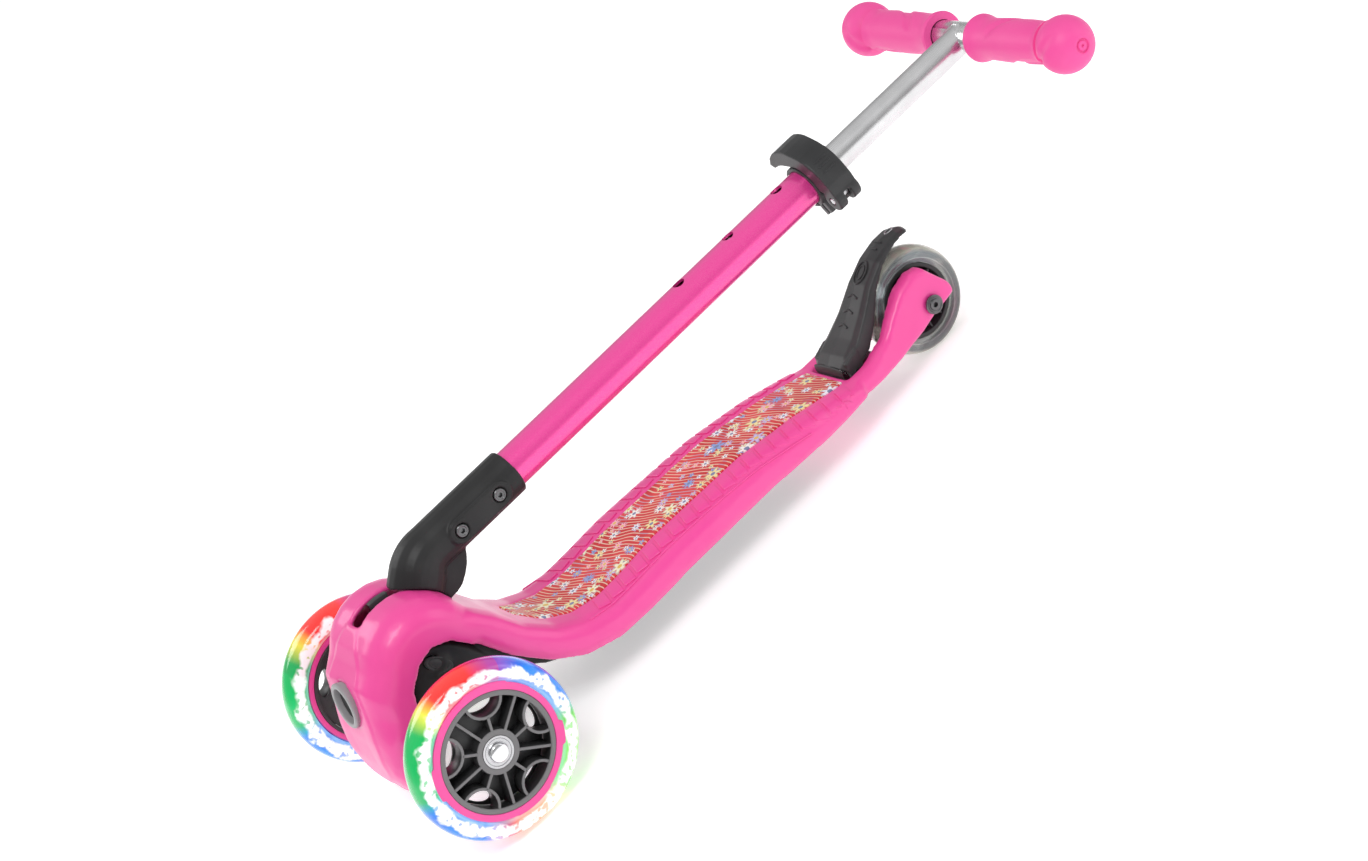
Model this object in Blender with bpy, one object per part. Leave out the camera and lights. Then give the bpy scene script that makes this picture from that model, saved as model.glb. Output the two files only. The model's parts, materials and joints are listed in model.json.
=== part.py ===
"""A child's folding three-wheel kick scooter that steers by leaning, at rest with its T-bar folded down.

Frame: metres, +X forward, +Y left, +Z up. The origin is on the floor, under the middle of the folded
scooter's box. Lengths along the scooter are measured from the rear axle, and the root empty shifts them.
Run it with: blender --background --python part.py
"""

import math

import bmesh
import bpy
from mathutils import Matrix, Vector

# Driving dimensions: wheels and wheelbase
WHEELBASE = 0.4587
FRONT_WHEEL_RADIUS = 0.0605
FRONT_WHEEL_WIDTH = 0.024
FRONT_TRACK = 0.2034
REAR_WHEEL_RADIUS = 0.040
REAR_WHEEL_WIDTH = 0.024
AXLE_RADIUS = 0.004
BEARING_RADIUS = 0.011
BEARING_WIDTH = 0.007

# Driving dimensions: deck and head
DECK_HALF_WIDTH = 0.055
DECK_WALL = 0.004
PANEL_HALF_WIDTH = 0.030
PANEL_THICKNESS = 0.0022
HEAD_HALF_WIDTH = 0.047
HEAD_WALL = 0.004
FORK_INNER = 0.0155

# Driving dimensions: T-bar
FOLD_DROP = 0.0157  # the fold axis lies this far behind the front axle
FOLD_HEIGHT = 0.104
DOME_RADIUS = 0.0435
TUBE_OFFSET = 0.0427  # from the fold axis to the tube's own axis
FOLDED_RISE = math.radians(1.85)  # the folded tube's slope above level
NECK_ANGLE = math.radians(47.3)  # in the T-bar's frame, from its X towards the tube
TUBE_RADIUS = 0.014
TUBE_WALL = 0.002
TUBE_LENGTH = 0.3825
TUBE_START = 0.062
STEM_RADIUS = 0.01075
STEM_WALL = 0.0018
CROSSBAR_REACH = 0.5875  # from the fold axis to the crossbar's axis, along the tube
CROSSBAR_HALF = 0.131
ELBOW_MOUTH = 0.1306
ELBOW_WALL = 0.003
BOLT_REACHES = (0.0755, 0.1105)
BOLT_RADIUS = 0.0025
HOLE_PITCH = 0.049
MIDDLE_HOLE = 0.3542
CLAMP_LENGTH = 0.022
CLAMP_PIN_ANGLE = 110  # around the tube, from the T-bar's X, in degrees
CLAMP_PIN_REACH = 0.0290
GRIP_BALL_RADIUS = 0.0203
GRIP_REACH = 0.1221
GRIP_START = 0.0240

# Driving dimensions: the fold's travel, its two latch blades, its hub and its release key
UPRIGHT_DEGREES = 78
BLADE_START = math.radians(147)  # where the blades begin around the fold axis
BLADE_END = math.radians(159)
BLADE_INNER = 0.0036  # a blade's two faces, from the middle plane
BLADE_OUTER = 0.0066
NECK_RADIUS = 0.0195
HUB_RADIUS = 0.0105
KEY_HALF = 0.0028
KEY_ANGLES = (86, 106)  # the key's front and rear ends around the fold axis, in degrees

# Driving dimensions: steering and brake
STEER_SLOPE = math.radians(50)
STEER_AHEAD = 0.0163  # from the front axle to the steering axis's reference point
STEER_ABOVE = 0.0165
TRUCK_HALF = 0.084
STEER_FACE = 0.0030  # along the steering axis, from its reference point
BOSS_TOP = 0.0120
SPRING_Y = 0.0220
SPRING_REAR = -0.0200
SPRING_FRONT = -0.0090
BRAKE_PIN_X = 0.072
BRAKE_PIN_Z = 0.036
LOCK_RADIUS = 0.0124
LOCK_TILT = math.radians(15)

# Clearances
GAP = 0.0003
RUN = 0.0005
SWING = 0.0008

# Derived places
FRONT = WHEELBASE
PIVOT_X = FRONT - FOLD_DROP
TUBE_INNER = TUBE_RADIUS - TUBE_WALL
TUBE_END = TUBE_START + TUBE_LENGTH
CLAMP_LOW = TUBE_END - CLAMP_LENGTH - 0.001
CLAMP_HIGH = TUBE_END - 0.001
SLOT_HALF = BLADE_OUTER + 0.0009
ELBOW_RADIUS = TUBE_RADIUS + ELBOW_WALL
FRONT_HALF = FRONT_TRACK / 2
TBAR_TURN = math.pi / 2 - FOLDED_RISE
CROSSBAR_X = PIVOT_X + TUBE_OFFSET * math.sin(FOLDED_RISE) - CROSSBAR_REACH * math.cos(FOLDED_RISE)
MIDDLE_X = (FRONT + FRONT_WHEEL_RADIUS + CROSSBAR_X - GRIP_BALL_RADIUS) / 2

# Sides of round pieces
ROUND = 20
FINE = 28
SMALL = 10

PAINTS = {
    "pink_plastic": ((0.87, 0.08, 0.35), 0.35, 0.0),
    "pink_paint": ((0.87, 0.05, 0.33), 0.2, 0.3),
    "pink_rubber": ((0.9, 0.12, 0.42), 0.6, 0.0),
    "panel_print": ((0.75, 0.12, 0.14), 0.55, 0.0),
    "black_plastic": ((0.02, 0.02, 0.022), 0.45, 0.0),
    "dark_plastic": ((0.06, 0.06, 0.065), 0.5, 0.0),
    "grey_plastic": ((0.16, 0.16, 0.165), 0.45, 0.0),
    "clear_urethane": ((0.72, 0.85, 0.92), 0.15, 0.0),
    "smoke_urethane": ((0.5, 0.5, 0.48), 0.2, 0.0),
    "brushed_aluminium": ((0.72, 0.72, 0.74), 0.3, 1.0),
    "steel": ((0.6, 0.6, 0.62), 0.25, 1.0),
    "chrome": ((0.85, 0.85, 0.87), 0.08, 1.0),
    "rubber": ((0.03, 0.03, 0.03), 0.8, 0.0),
}


# ---------------------------------------------------------------- modelling helpers

def clear_scene():
    for obj in list(bpy.data.objects):
        bpy.data.objects.remove(obj, do_unlink=True)


def paint(name):
    """The Principled material of this name, made once."""
    if name in bpy.data.materials:
        return bpy.data.materials[name]
    colour, roughness, metallic = PAINTS[name]
    material = bpy.data.materials.new(name)
    material.use_nodes = True
    shader = material.node_tree.nodes["Principled BSDF"]
    shader.inputs["Base Color"].default_value = (*colour, 1.0)
    shader.inputs["Roughness"].default_value = roughness
    shader.inputs["Metallic"].default_value = metallic
    return material


def empty(name, location=(0, 0, 0), rotation=(0, 0, 0), parent=None):
    """A frame to hang parts on, such as a joint's axis."""
    frame = bpy.data.objects.new(name, None)
    frame.location = location
    frame.rotation_euler = rotation
    frame.parent = parent
    bpy.context.scene.collection.objects.link(frame)
    return frame


def finish(bm, name, material, parent=None, location=(0, 0, 0), rotation=(0, 0, 0)):
    """The bmesh as a named object with its faces turned outwards and its round faces shaded smooth."""
    bmesh.ops.remove_doubles(bm, verts=bm.verts, dist=1e-6)
    bmesh.ops.recalc_face_normals(bm, faces=bm.faces)
    mesh = bpy.data.meshes.new(name)
    bm.to_mesh(mesh)
    bm.free()
    mesh.shade_smooth()
    mesh.set_sharp_from_angle(angle=math.radians(35))
    obj = bpy.data.objects.new(name, mesh)
    if material:
        mesh.materials.append(paint(material))
    obj.location = location
    obj.rotation_euler = rotation
    obj.parent = parent
    bpy.context.scene.collection.objects.link(obj)
    return obj


def skin(bm, rings, closed=False):
    """Faces between each ring of points and the next, with both ends filled unless the rings close."""
    made = [[bm.verts.new(point) for point in ring] for ring in rings]
    pairs = list(zip(made, made[1:]))
    if closed:
        pairs.append((made[-1], made[0]))
    for near, far in pairs:
        count = len(near)
        for i in range(count):
            j = (i + 1) % count
            bm.faces.new((near[i], near[j], far[j], far[i]))
    if not closed:
        bm.faces.new(list(reversed(made[0])))
        bm.faces.new(made[-1])
    bm.normal_update()
    bmesh.ops.triangulate(bm, faces=bm.faces)
    return bm


def loft(rings):
    return skin(bmesh.new(), rings)


def lathe(profile, segments=ROUND):
    """A closed (radius, height) outline turned about Z. An outline with a hole through it goes round as a ring."""
    rings = []
    for i in range(segments):
        turn = 2 * math.pi * i / segments
        rings.append([(r * math.cos(turn), r * math.sin(turn), h) for r, h in profile])
    bm = skin(bmesh.new(), rings, closed=True)
    bmesh.ops.remove_doubles(bm, verts=bm.verts, dist=1e-6)
    bmesh.ops.dissolve_degenerate(bm, edges=bm.edges, dist=1e-7)
    bmesh.ops.delete(bm, geom=[edge for edge in bm.edges if not edge.link_faces], context="EDGES")
    return bm


def rod(radius, low, high, bevel=0.0):
    """The outline of a solid rod for lathe."""
    if bevel == 0:
        return [(0, low), (radius, low), (radius, high), (0, high)]
    return [(0, low), (radius - bevel, low), (radius, low + bevel), (radius, high - bevel),
            (radius - bevel, high), (0, high)]


def sleeve(inner, outer, low, high, bevel=0.0):
    """The outline of a ring or a tube for lathe."""
    if bevel == 0:
        return [(inner, low), (outer, low), (outer, high), (inner, high)]
    return [(inner, low), (outer - bevel, low), (outer, low + bevel), (outer, high - bevel),
            (outer - bevel, high), (inner, high)]


def plate(outline, low, high, axis="Y"):
    """An outline of (a, b) points drawn out along Y (a = x, b = z) or along Z (a = x, b = y)."""
    def place(a, b, depth):
        return (a, depth, b) if axis == "Y" else (a, b, depth)
    return loft([[place(a, b, depth) for a, b in outline] for depth in (low, high)])


def arc(centre, radius, start, end, steps):
    """Points on a round stretch, from one angle in degrees to another."""
    angles = (math.radians(start + (end - start) * i / steps) for i in range(steps + 1))
    return [(centre[0] + radius * math.cos(a), centre[1] + radius * math.sin(a)) for a in angles]


def box(low, high):
    """A box between two corners."""
    outline = [(low[0], low[1]), (high[0], low[1]), (high[0], high[1]), (low[0], high[1])]
    return plate(outline, low[2], high[2], axis="Z")


def combine(obj, other, operation):
    """A live exact Boolean with a helper object, which is kept out of the render."""
    other.hide_render = True
    other.display_type = "WIRE"
    modifier = obj.modifiers.new(f"{operation.lower()}_{other.name}"[:60], "BOOLEAN")
    modifier.operation = operation
    modifier.solver = "EXACT"
    modifier.object = other


def cut(obj, *others):
    for other in others:
        combine(obj, other, "DIFFERENCE")


def join(obj, *others):
    for other in others:
        combine(obj, other, "UNION")


def hex_nut(bore, outer, low, high):
    """A six-sided nut whose flats inside still clear a round shaft."""
    return lathe(sleeve(bore / math.cos(math.pi / 6), outer, low, high), 6)


def along_y(side=1):
    """The rotation that lays a lathe's Z along +Y or -Y."""
    return (-side * math.pi / 2, 0, 0)


# ---------------------------------------------------------------- deck and head

def deck_stations():
    """Cross-sections of the deck from its rear end up into the head: top point, bottom point, half width."""
    wide = DECK_HALF_WIDTH
    return [
        ((0.084, 0.0395), (0.084, 0.0265), wide - 0.011),
        ((0.108, 0.0445), (0.108, 0.0262), wide - 0.007),
        ((0.134, 0.0495), (0.134, 0.0270), wide - 0.004),
        ((0.40 * FRONT, 0.0555), (0.40 * FRONT, 0.0295), wide - 0.002),
        ((0.50 * FRONT, 0.0555), (0.50 * FRONT, 0.0295), wide),
        ((FRONT - 0.189, 0.0555), (FRONT - 0.189, 0.0290), wide + 0.001),
        ((FRONT - 0.157, 0.0530), (FRONT - 0.154, 0.0275), wide + 0.002),
        ((FRONT - 0.136, 0.0520), (FRONT - 0.127, 0.0280), wide + 0.002),
        ((FRONT - 0.114, 0.0555), (FRONT - 0.100, 0.0350), wide + 0.001),
        ((FRONT - 0.097, 0.0640), (FRONT - 0.079, 0.0490), wide - 0.001),
        ((FRONT - 0.081, 0.0800), (FRONT - 0.060, 0.0700), wide - 0.004),
        ((FRONT - 0.070, 0.0980), (FRONT - 0.047, 0.0920), wide - 0.007),
        ((FRONT - 0.058, 0.1130), (FRONT - 0.034, 0.1080), wide - 0.009),
    ]


def deck_section(top, bottom, half, inset=0.0):
    """Half of the deck's outline at a station, as (y, height share) points from the bottom lip to the middle."""
    height = math.dist(top, bottom)
    wide = half - inset
    high = 1 - inset / height
    return [
        (wide - 0.004, 0.0),
        (wide, 0.28 * high),
        (wide - 0.0008, 0.62 * high),
        (wide - 0.0045, 0.88 * high),
        (wide - 0.012, high - 0.03),
        (min(PANEL_HALF_WIDTH, wide - 0.015), high),
        (0.0, high),
    ]


def deck_ring(top, bottom, half):
    """The deck's closed channel section: outside over the top, then back along the inside."""
    across = Vector((bottom[0], 0, bottom[1]))
    up = Vector((top[0] - bottom[0], 0, top[1] - bottom[1]))
    outer = deck_section(top, bottom, half)
    inner = deck_section(top, bottom, half, inset=DECK_WALL)
    ring = [across + up * share + Vector((0, y, 0)) for y, share in outer]
    ring += [across + up * share - Vector((0, y, 0)) for y, share in reversed(outer[:-1])]
    ring += [across + up * share - Vector((0, y, 0)) for y, share in inner]
    ring += [across + up * share + Vector((0, y, 0)) for y, share in reversed(inner[:-1])]
    return ring


def head_outline(inset=0.0, side=0.0):
    """The head in side view. inset shrinks it all round, and side pulls its front and top in as the flank rounds."""
    pivot = (PIVOT_X, FOLD_HEIGHT)
    dome = arc(pivot, DOME_RADIUS - inset - side, 165, 30, 9)
    nose = [
        (FRONT + 0.0325, 0.1170),
        (FRONT + 0.0385, 0.1000),
        (FRONT + 0.0445, 0.0810),
        (FRONT + 0.0485, 0.0620),
        (FRONT + 0.0490, 0.0460),
        (FRONT + 0.0450, 0.0320),
        (FRONT + 0.0380, 0.0240),
    ]
    centre = Vector((FRONT + 0.010, 0.0750))
    shrink = inset + 1.15 * side
    points = []
    for point in nose:
        away = Vector(point) - centre
        points.append(tuple(centre + away * (1 - shrink / away.length)))
    back = [
        (FRONT + 0.026 - 0.3 * side, 0.0200 + inset + 0.8 * side),
        (FRONT + 0.008 - inset, 0.0400 + inset + 0.5 * side),
        (FRONT - 0.004 - inset, 0.0760 - inset),
        (FRONT - 0.020, 0.0920 - inset),
        (FRONT - 0.040, 0.0900 + 0.3 * inset),
        (FRONT - 0.054 + inset, 0.0980 + inset),
    ]
    return dome + points + back


def head_floor(y):
    """How low the egg-shaped front reaches at this distance from the middle."""
    marks = ((0.0, 0.0190), (0.012, 0.0200), (0.022, 0.0255), (0.031, 0.0360), (0.038, 0.0500),
             (0.043, 0.0640), (0.047, 0.0740), (1.0, 0.0740))
    for (y0, z0), (y1, z1) in zip(marks, marks[1:]):
        if y <= y1:
            return z0 + (z1 - z0) * (y - y0) / (y1 - y0)


def head_loft(inset=0.0):
    """The egg-shaped head, drawn across the scooter with round flanks."""
    half = HEAD_HALF_WIDTH - inset
    rings = []
    for share in (-1.0, -0.97, -0.9, -0.8, -0.67, -0.52, -0.27, 0.27, 0.52, 0.67, 0.8, 0.9, 0.97, 1.0):
        past = max(0.0, (abs(share) - 0.52) / 0.48)
        side = 0.020 * (1 - math.sqrt(max(0.0, 1 - (0.985 * past) ** 2)))
        low = head_floor(abs(share) * half + inset) + inset
        outline = head_outline(inset, side)
        lowest = min(z for _, z in outline)
        squeeze = (0.096 - low) / (0.096 - lowest)
        rings.append([(x, share * half, 0.096 - (0.096 - z) * squeeze if z < 0.096 else z) for x, z in outline])
    return loft(rings)


def arch_outline():
    """The wheel arch in side view, which leaves the steering free behind the nose."""
    return [
        (FRONT + 0.0178, 0.0100),
        (FRONT + 0.0178, 0.0680),
        (FRONT + 0.0130, 0.0850),
        (FRONT + 0.0060, 0.1000),
        (FRONT - 0.0070, 0.1110),
        (FRONT - 0.0200, 0.1145),
        (FRONT - 0.0330, 0.1090),
        (FRONT - 0.0430, 0.0960),
        (FRONT - 0.0500, 0.0800),
        (FRONT - 0.0640, 0.0600),
        (FRONT - 0.0800, 0.0440),
        (FRONT - 0.1100, 0.0200),
        (FRONT - 0.1100, 0.0100),
    ]


def fork_rings(side):
    """One arm beside the rear wheel: x, inner y, outer y, low z, high z."""
    inner = FORK_INNER
    stations = [
        (0.110, 0.0240, DECK_HALF_WIDTH - 0.0120, 0.0290, 0.0400),
        (0.086, 0.0240, DECK_HALF_WIDTH - 0.0150, 0.0262, 0.0392),
        (0.066, 0.0240, inner + 0.0225, 0.0245, 0.0410),
        (0.046, 0.0225, inner + 0.0185, 0.0245, 0.0465),
        (0.031, inner + 0.003, inner + 0.0160, 0.0255, 0.0560),
        (0.016, inner, inner + 0.0140, 0.0265, 0.0645),
        (0.002, inner, inner + 0.0140, 0.0305, 0.0685),
        (-0.008, inner, inner + 0.0140, 0.0320, 0.0665),
        (-0.0205, inner, inner + 0.0140, 0.0350, 0.0440),
    ]
    rings = []
    for x, near, far, low, high in stations:
        round_off = 0.25 * min(far - near, high - low)
        outline = [
            (near, low), (far - round_off, low), (far, low + round_off),
            (far, high - round_off), (far - round_off, high), (near, high),
        ]
        rings.append([(x, side * y, z) for y, z in outline])
    return rings


def make_deck_shell(root):
    deck = finish(loft([deck_ring(*s) for s in deck_stations()]), "deck_shell", "pink_plastic", root)
    pivot = (PIVOT_X, FOLD_HEIGHT)
    saddle = arc(pivot, DOME_RADIUS + 0.03, 172, 26, 12) + arc(pivot, DOME_RADIUS + GAP, 26, 172, 12)
    swept = finish(plate(saddle, -NECK_RADIUS - SWING, NECK_RADIUS + SWING), "neck_sweep", None, root)
    cut(deck, swept)
    head = finish(head_loft(), "head_form", None, root)
    join(deck, head)
    for side, name in ((1, "left"), (-1, "right")):
        join(deck, finish(loft(fork_rings(side)), f"fork_form_{name}", None, root))
    hollow = finish(head_loft(HEAD_WALL), "head_hollow", None, root)
    arch = finish(plate(arch_outline(), -0.08, 0.08), "arch_cutter", None, root)
    slot_half = SLOT_HALF
    slot_angles = (math.degrees(BLADE_END) + 5, math.degrees(BLADE_START) - UPRIGHT_DEGREES - 5)
    ring = arc(pivot, DOME_RADIUS + 0.02, slot_angles[0], slot_angles[1], 8)
    ring += arc(pivot, 0.016, slot_angles[1], slot_angles[0], 8)
    slot = finish(plate(ring, -slot_half, slot_half), "slot_cutter", None, root)
    cut(deck, hollow, arch, slot)
    bore = LOCK_RADIUS + 0.0028
    lock_bore = [(0, -0.03), (bore, -0.03), (bore, 0.0009), (bore + 0.0020, 0.0009), (bore + 0.0020, 0.03), (0, 0.03)]
    cut(deck, finish(lathe(lock_bore), "lock_bore", None, root, lock_place(), (0, math.pi / 2 - LOCK_TILT, 0)))
    cut(deck, finish(lathe(rod(AXLE_RADIUS + RUN, -0.05, 0.05), SMALL), "rear_axle_bore", None, root,
                     (0, 0, REAR_WHEEL_RADIUS), along_y()))
    cut(deck, finish(lathe(rod(0.002 + GAP, -0.034, 0.034), SMALL), "brake_pin_bore", None, root,
                     (BRAKE_PIN_X, 0, BRAKE_PIN_Z), along_y()))
    cut(deck, finish(lathe(rod(0.004 + GAP, -0.038, 0.038), SMALL), "fold_pin_bore", None, root,
                     (PIVOT_X, 0, FOLD_HEIGHT), along_y()))
    cut(deck, finish(panel_loft(GAP, 0.004), "panel_recess", None, root))
    return deck


def panel_loft(clearance=0.0, rise=0.0):
    """The patterned mat on the deck's middle, following its top. rise lifts its upper face, for the recess."""
    half = PANEL_HALF_WIDTH - 0.0025 + clearance
    shares = ((0.088 - clearance, 0.88), (0.108, 0.95), (0.134, 0.97), (0.40 * FRONT, 1.0), (0.50 * FRONT, 1.0),
              (FRONT - 0.189, 1.0), (FRONT - 0.157, 1.05), (FRONT - 0.136, 1.05), (FRONT - 0.114, 1.0),
              (FRONT - 0.097, 0.85), (FRONT - 0.086 + clearance, 0.45))
    rings = []
    for x, share in shares:
        slope, height = deck_top(x)
        up = Vector((-math.sin(slope), 0, math.cos(slope)))
        base = Vector((x, 0, height)) - up * (PANEL_THICKNESS - 0.0004 + clearance)
        top = base + up * (PANEL_THICKNESS + clearance + rise)
        wide = half * share
        rings.append([base + Vector((0, -wide, 0)), base + Vector((0, wide, 0)),
                      top + Vector((0, wide, 0)), top + Vector((0, -wide, 0))])
    return loft(rings)


def deck_top(x):
    """The slope and height of the deck's top middle line at x."""
    tops = [s[0] for s in deck_stations()]
    for (x0, z0), (x1, z1) in zip(tops, tops[1:]):
        if x <= x1 or (x1, z1) == tops[-1]:
            share = (x - x0) / (x1 - x0)
            return math.atan2(z1 - z0, x1 - x0), z0 + share * (z1 - z0)
    raise ValueError("x lies past the deck")


def make_grip_panel(root):
    return finish(panel_loft(), "grip_panel", "panel_print", root)


def lock_place(out=0.0):
    """The steering-lock button's centre on the nose, moved out along its own axis."""
    base = Vector((FRONT + 0.0375, 0, 0.1030))
    return base + out * Vector((math.cos(LOCK_TILT), 0, math.sin(LOCK_TILT)))


def under_rings():
    """The black underbody below the deck and the neck: a tray that thickens under the neck."""
    rings = []
    deeper = (0, 0, 0, 0, 0, 0, 0, 0.0005, 0.004, 0.010, 0.012)
    for (top, bottom, half), depth in zip(deck_stations()[2:], deeper[1:]):
        up = Vector((top[0] - bottom[0], 0, top[1] - bottom[1])).normalized()
        low = Vector((bottom[0], 0, bottom[1])) - up * depth
        high = Vector((bottom[0], 0, bottom[1])) + up * 0.0035
        wide = half - DECK_WALL - 0.0055
        narrow = wide - 0.004
        rings.append([low + Vector((0, -narrow, 0)), low + Vector((0, narrow, 0)),
                      high + Vector((0, wide, 0)), high + Vector((0, -wide, 0))])
    return rings


def make_underbody(root):
    """The black underbody, with the two cheeks that hold the fold pin and the bridge that holds the steering."""
    body = finish(loft(under_rings()), "underbody", "black_plastic", root)
    cheek = [
        (FRONT - 0.068, 0.0500), (FRONT - 0.040, 0.0560), (FRONT - 0.0250, 0.0790), (FRONT + 0.0130, 0.0790),
        (FRONT + 0.0150, 0.0850), (FRONT + 0.0100, 0.0990), (FRONT - 0.0040, 0.1100), (FRONT - 0.0200, 0.1140),
        (FRONT - 0.0330, 0.1080), (FRONT - 0.0425, 0.0955), (FRONT - 0.0500, 0.0790),
    ]
    raised = [
        (FRONT - 0.0400, 0.0620), (FRONT - 0.0250, 0.0800), (FRONT + 0.0100, 0.0800), (FRONT + 0.0110, 0.0850),
        (FRONT + 0.0040, 0.0985), (FRONT - 0.0080, 0.1085), (FRONT - 0.0200, 0.1120), (FRONT - 0.0315, 0.1065),
        (FRONT - 0.0410, 0.0945), (FRONT - 0.0480, 0.0790), (FRONT - 0.0540, 0.0680),
    ]
    inner = HEAD_HALF_WIDTH - HEAD_WALL - 0.0115
    outer = inner + 0.0080
    for side, name in ((1, "left"), (-1, "right")):
        low, high = sorted((side * inner, side * (inner + 0.0050)))
        join(body, finish(plate(cheek, low, high), f"cheek_form_{name}", None, root))
        low, high = sorted((side * (inner + 0.0020), side * outer))
        join(body, finish(plate(raised, low, high), f"raised_form_{name}", None, root))
    bridge = box((-0.0240, -0.0345, STEER_FACE + 0.0015), (0.0100, 0.0345, STEER_FACE + 0.0085))
    join(body, finish(bridge, "bridge_form", None, root, steer_place(), steer_turn()))
    boss = finish(lathe(rod(0.0125, STEER_FACE + SWING, BOSS_TOP), ROUND), "boss_form", None, root,
                  steer_place(), steer_turn())
    post = box((-0.0170, -0.0060, STEER_FACE + 0.0050), (-0.0130, 0.0060, 0.0250))
    join(body, boss, finish(post, "post_form", None, root, steer_place(), steer_turn()))
    for side, name in ((1, "left"), (-1, "right")):
        low, high = sorted((side * (SPRING_Y - 0.0050), side * (SPRING_Y + 0.0050)))
        seat = box((SPRING_REAR - 0.0033, low, -0.0080), (SPRING_REAR, high, STEER_FACE + 0.0047))
        join(body, finish(seat, f"seat_form_{name}", None, root, steer_place(), steer_turn()))
    join(body, finish(plate(key_guide(), -KEY_HALF, KEY_HALF), "key_guide_form", None, root))
    for side, name in ((1, "left"), (-1, "right")):
        badge = finish(lathe(rod(0.5, -0.5, 0.5, 0.12), 20), f"badge_form_{name}", None, root,
                       (FRONT - 0.0185, side * (outer + 0.0006), 0.0985), along_y(side))
        badge.scale = (0.0150, 0.0090, 0.0036)
        badge.rotation_euler = (-side * math.pi / 2, 0, 0)
        join(body, badge)
    cut(body, finish(lathe(rod(0.0042 + RUN, -0.05, 0.05), SMALL), "under_pin_bore", None, root,
                     (PIVOT_X, 0, FOLD_HEIGHT), along_y()))
    cut(body, finish(lathe(rod(0.003 + GAP, -0.04, 0.04), SMALL), "steer_bore", None, root,
                     steer_place(), steer_turn()))
    return body


def key_guide():
    """The rib between the cheeks, with two posts that the fold-release key slides between."""
    pivot = (PIVOT_X, FOLD_HEIGHT)
    front, rear = KEY_ANGLES
    post = arc(pivot, 0.039, front - 5.0, front - 2.2, 1) + arc(pivot, 0.020, front - 2.2, rear + 2.2, 3)
    post += arc(pivot, 0.039, rear + 2.2, rear + 5.0, 1)
    return post + [
        (PIVOT_X - 0.0070, FOLD_HEIGHT + 0.014), (PIVOT_X - 0.0070, FOLD_HEIGHT - 0.008),
        (PIVOT_X + 0.018, FOLD_HEIGHT - 0.0085), (PIVOT_X + 0.021, FOLD_HEIGHT - 0.004),
        (PIVOT_X + 0.0085, FOLD_HEIGHT + 0.002),
    ]


def steer_place():
    return Vector((FRONT + STEER_AHEAD, 0, FRONT_WHEEL_RADIUS + STEER_ABOVE))


def steer_turn():
    """The rotation that lays Z along the steering axis, which rises towards the front."""
    return (0, math.pi / 2 - STEER_SLOPE, 0)


# ---------------------------------------------------------------- steering truck and wheels

def make_truck(root, steer):
    """The carrier across the front axle, with its boss under the steering axis. Its own frame is the steering axis."""
    rings = []
    for y, radius in ((-1.0, 0.0085), (-0.94, 0.0095), (-0.50, 0.0078), (-0.22, 0.0120), (0.22, 0.0120),
                      (0.50, 0.0078), (0.94, 0.0095), (1.0, 0.0085)):
        rings.append([(FRONT + radius * math.cos(a), y * TRUCK_HALF, FRONT_WHEEL_RADIUS + 0.9 * radius * math.sin(a))
                      for a in (2 * math.pi * i / 16 for i in range(16))])
    bm = loft(rings)
    inverse = (Matrix.Translation(steer_place()) @ Matrix.Rotation(steer_turn()[1], 4, "Y")).inverted()
    bmesh.ops.transform(bm, matrix=inverse, verts=bm.verts)
    truck = finish(bm, "steering_truck", "black_plastic", steer)
    boss = finish(lathe(rod(0.0130, -0.0200, STEER_FACE, 0.0008), ROUND), "truck_boss_form", None, steer)
    join(truck, boss)
    for side, name in ((1, "left"), (-1, "right")):
        low, high = sorted((side * (SPRING_Y - 0.0050), side * (SPRING_Y + 0.0050)))
        lug = box((SPRING_FRONT, low, -0.0200), (SPRING_FRONT + 0.0050, high, 0.0010))
        join(truck, finish(lug, f"truck_lug_form_{name}", None, steer))
    bore = finish(lathe(rod(AXLE_RADIUS + GAP, -0.1, 0.1), SMALL), "truck_axle_bore", None, root,
                  (FRONT, 0, FRONT_WHEEL_RADIUS), along_y())
    bolt = finish(lathe(rod(0.003 + GAP, -0.0150, 0.02), SMALL), "truck_bolt_bore", None, steer)
    cut(truck, bore, bolt)
    return truck


def make_steering(root):
    steer = empty("steer_axis", steer_place(), steer_turn(), root)
    make_truck(root, steer)
    head = BOSS_TOP + GAP
    finish(lathe([(0, -0.0140), (0.003, -0.0140), (0.003, head), (0.0062, head), (0.0062, head + 0.0026),
                  (0.0052, head + 0.0036), (0, head + 0.0036)], SMALL), "steering_bolt", "steel", root,
           steer_place(), steer_turn())
    length = SPRING_FRONT - SPRING_REAR - 2 * GAP - 0.0010
    for side, name in ((1, "left"), (-1, "right")):
        points = [(SPRING_REAR + GAP + 0.0005 + x, side * SPRING_Y + y, z - 0.0040)
                  for x, y, z in coil(0.0034, length, 4, "X")]
        make_wire(f"steering_spring_{name}", points, 0.0005, steer)
    return steer


def on_front_axle(bm, name, material, steer, y=0.0, side=1):
    """A turned part placed on the front axle but held in the steering axis's frame."""
    place = Matrix.Translation((FRONT, y, FRONT_WHEEL_RADIUS)) @ Matrix.Rotation(along_y(side)[0], 4, "X")
    inverse = (Matrix.Translation(steer_place()) @ Matrix.Rotation(steer_turn()[1], 4, "Y")).inverted()
    obj = finish(bm, name, material, steer)
    obj.matrix_local = inverse @ place
    return obj


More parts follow.
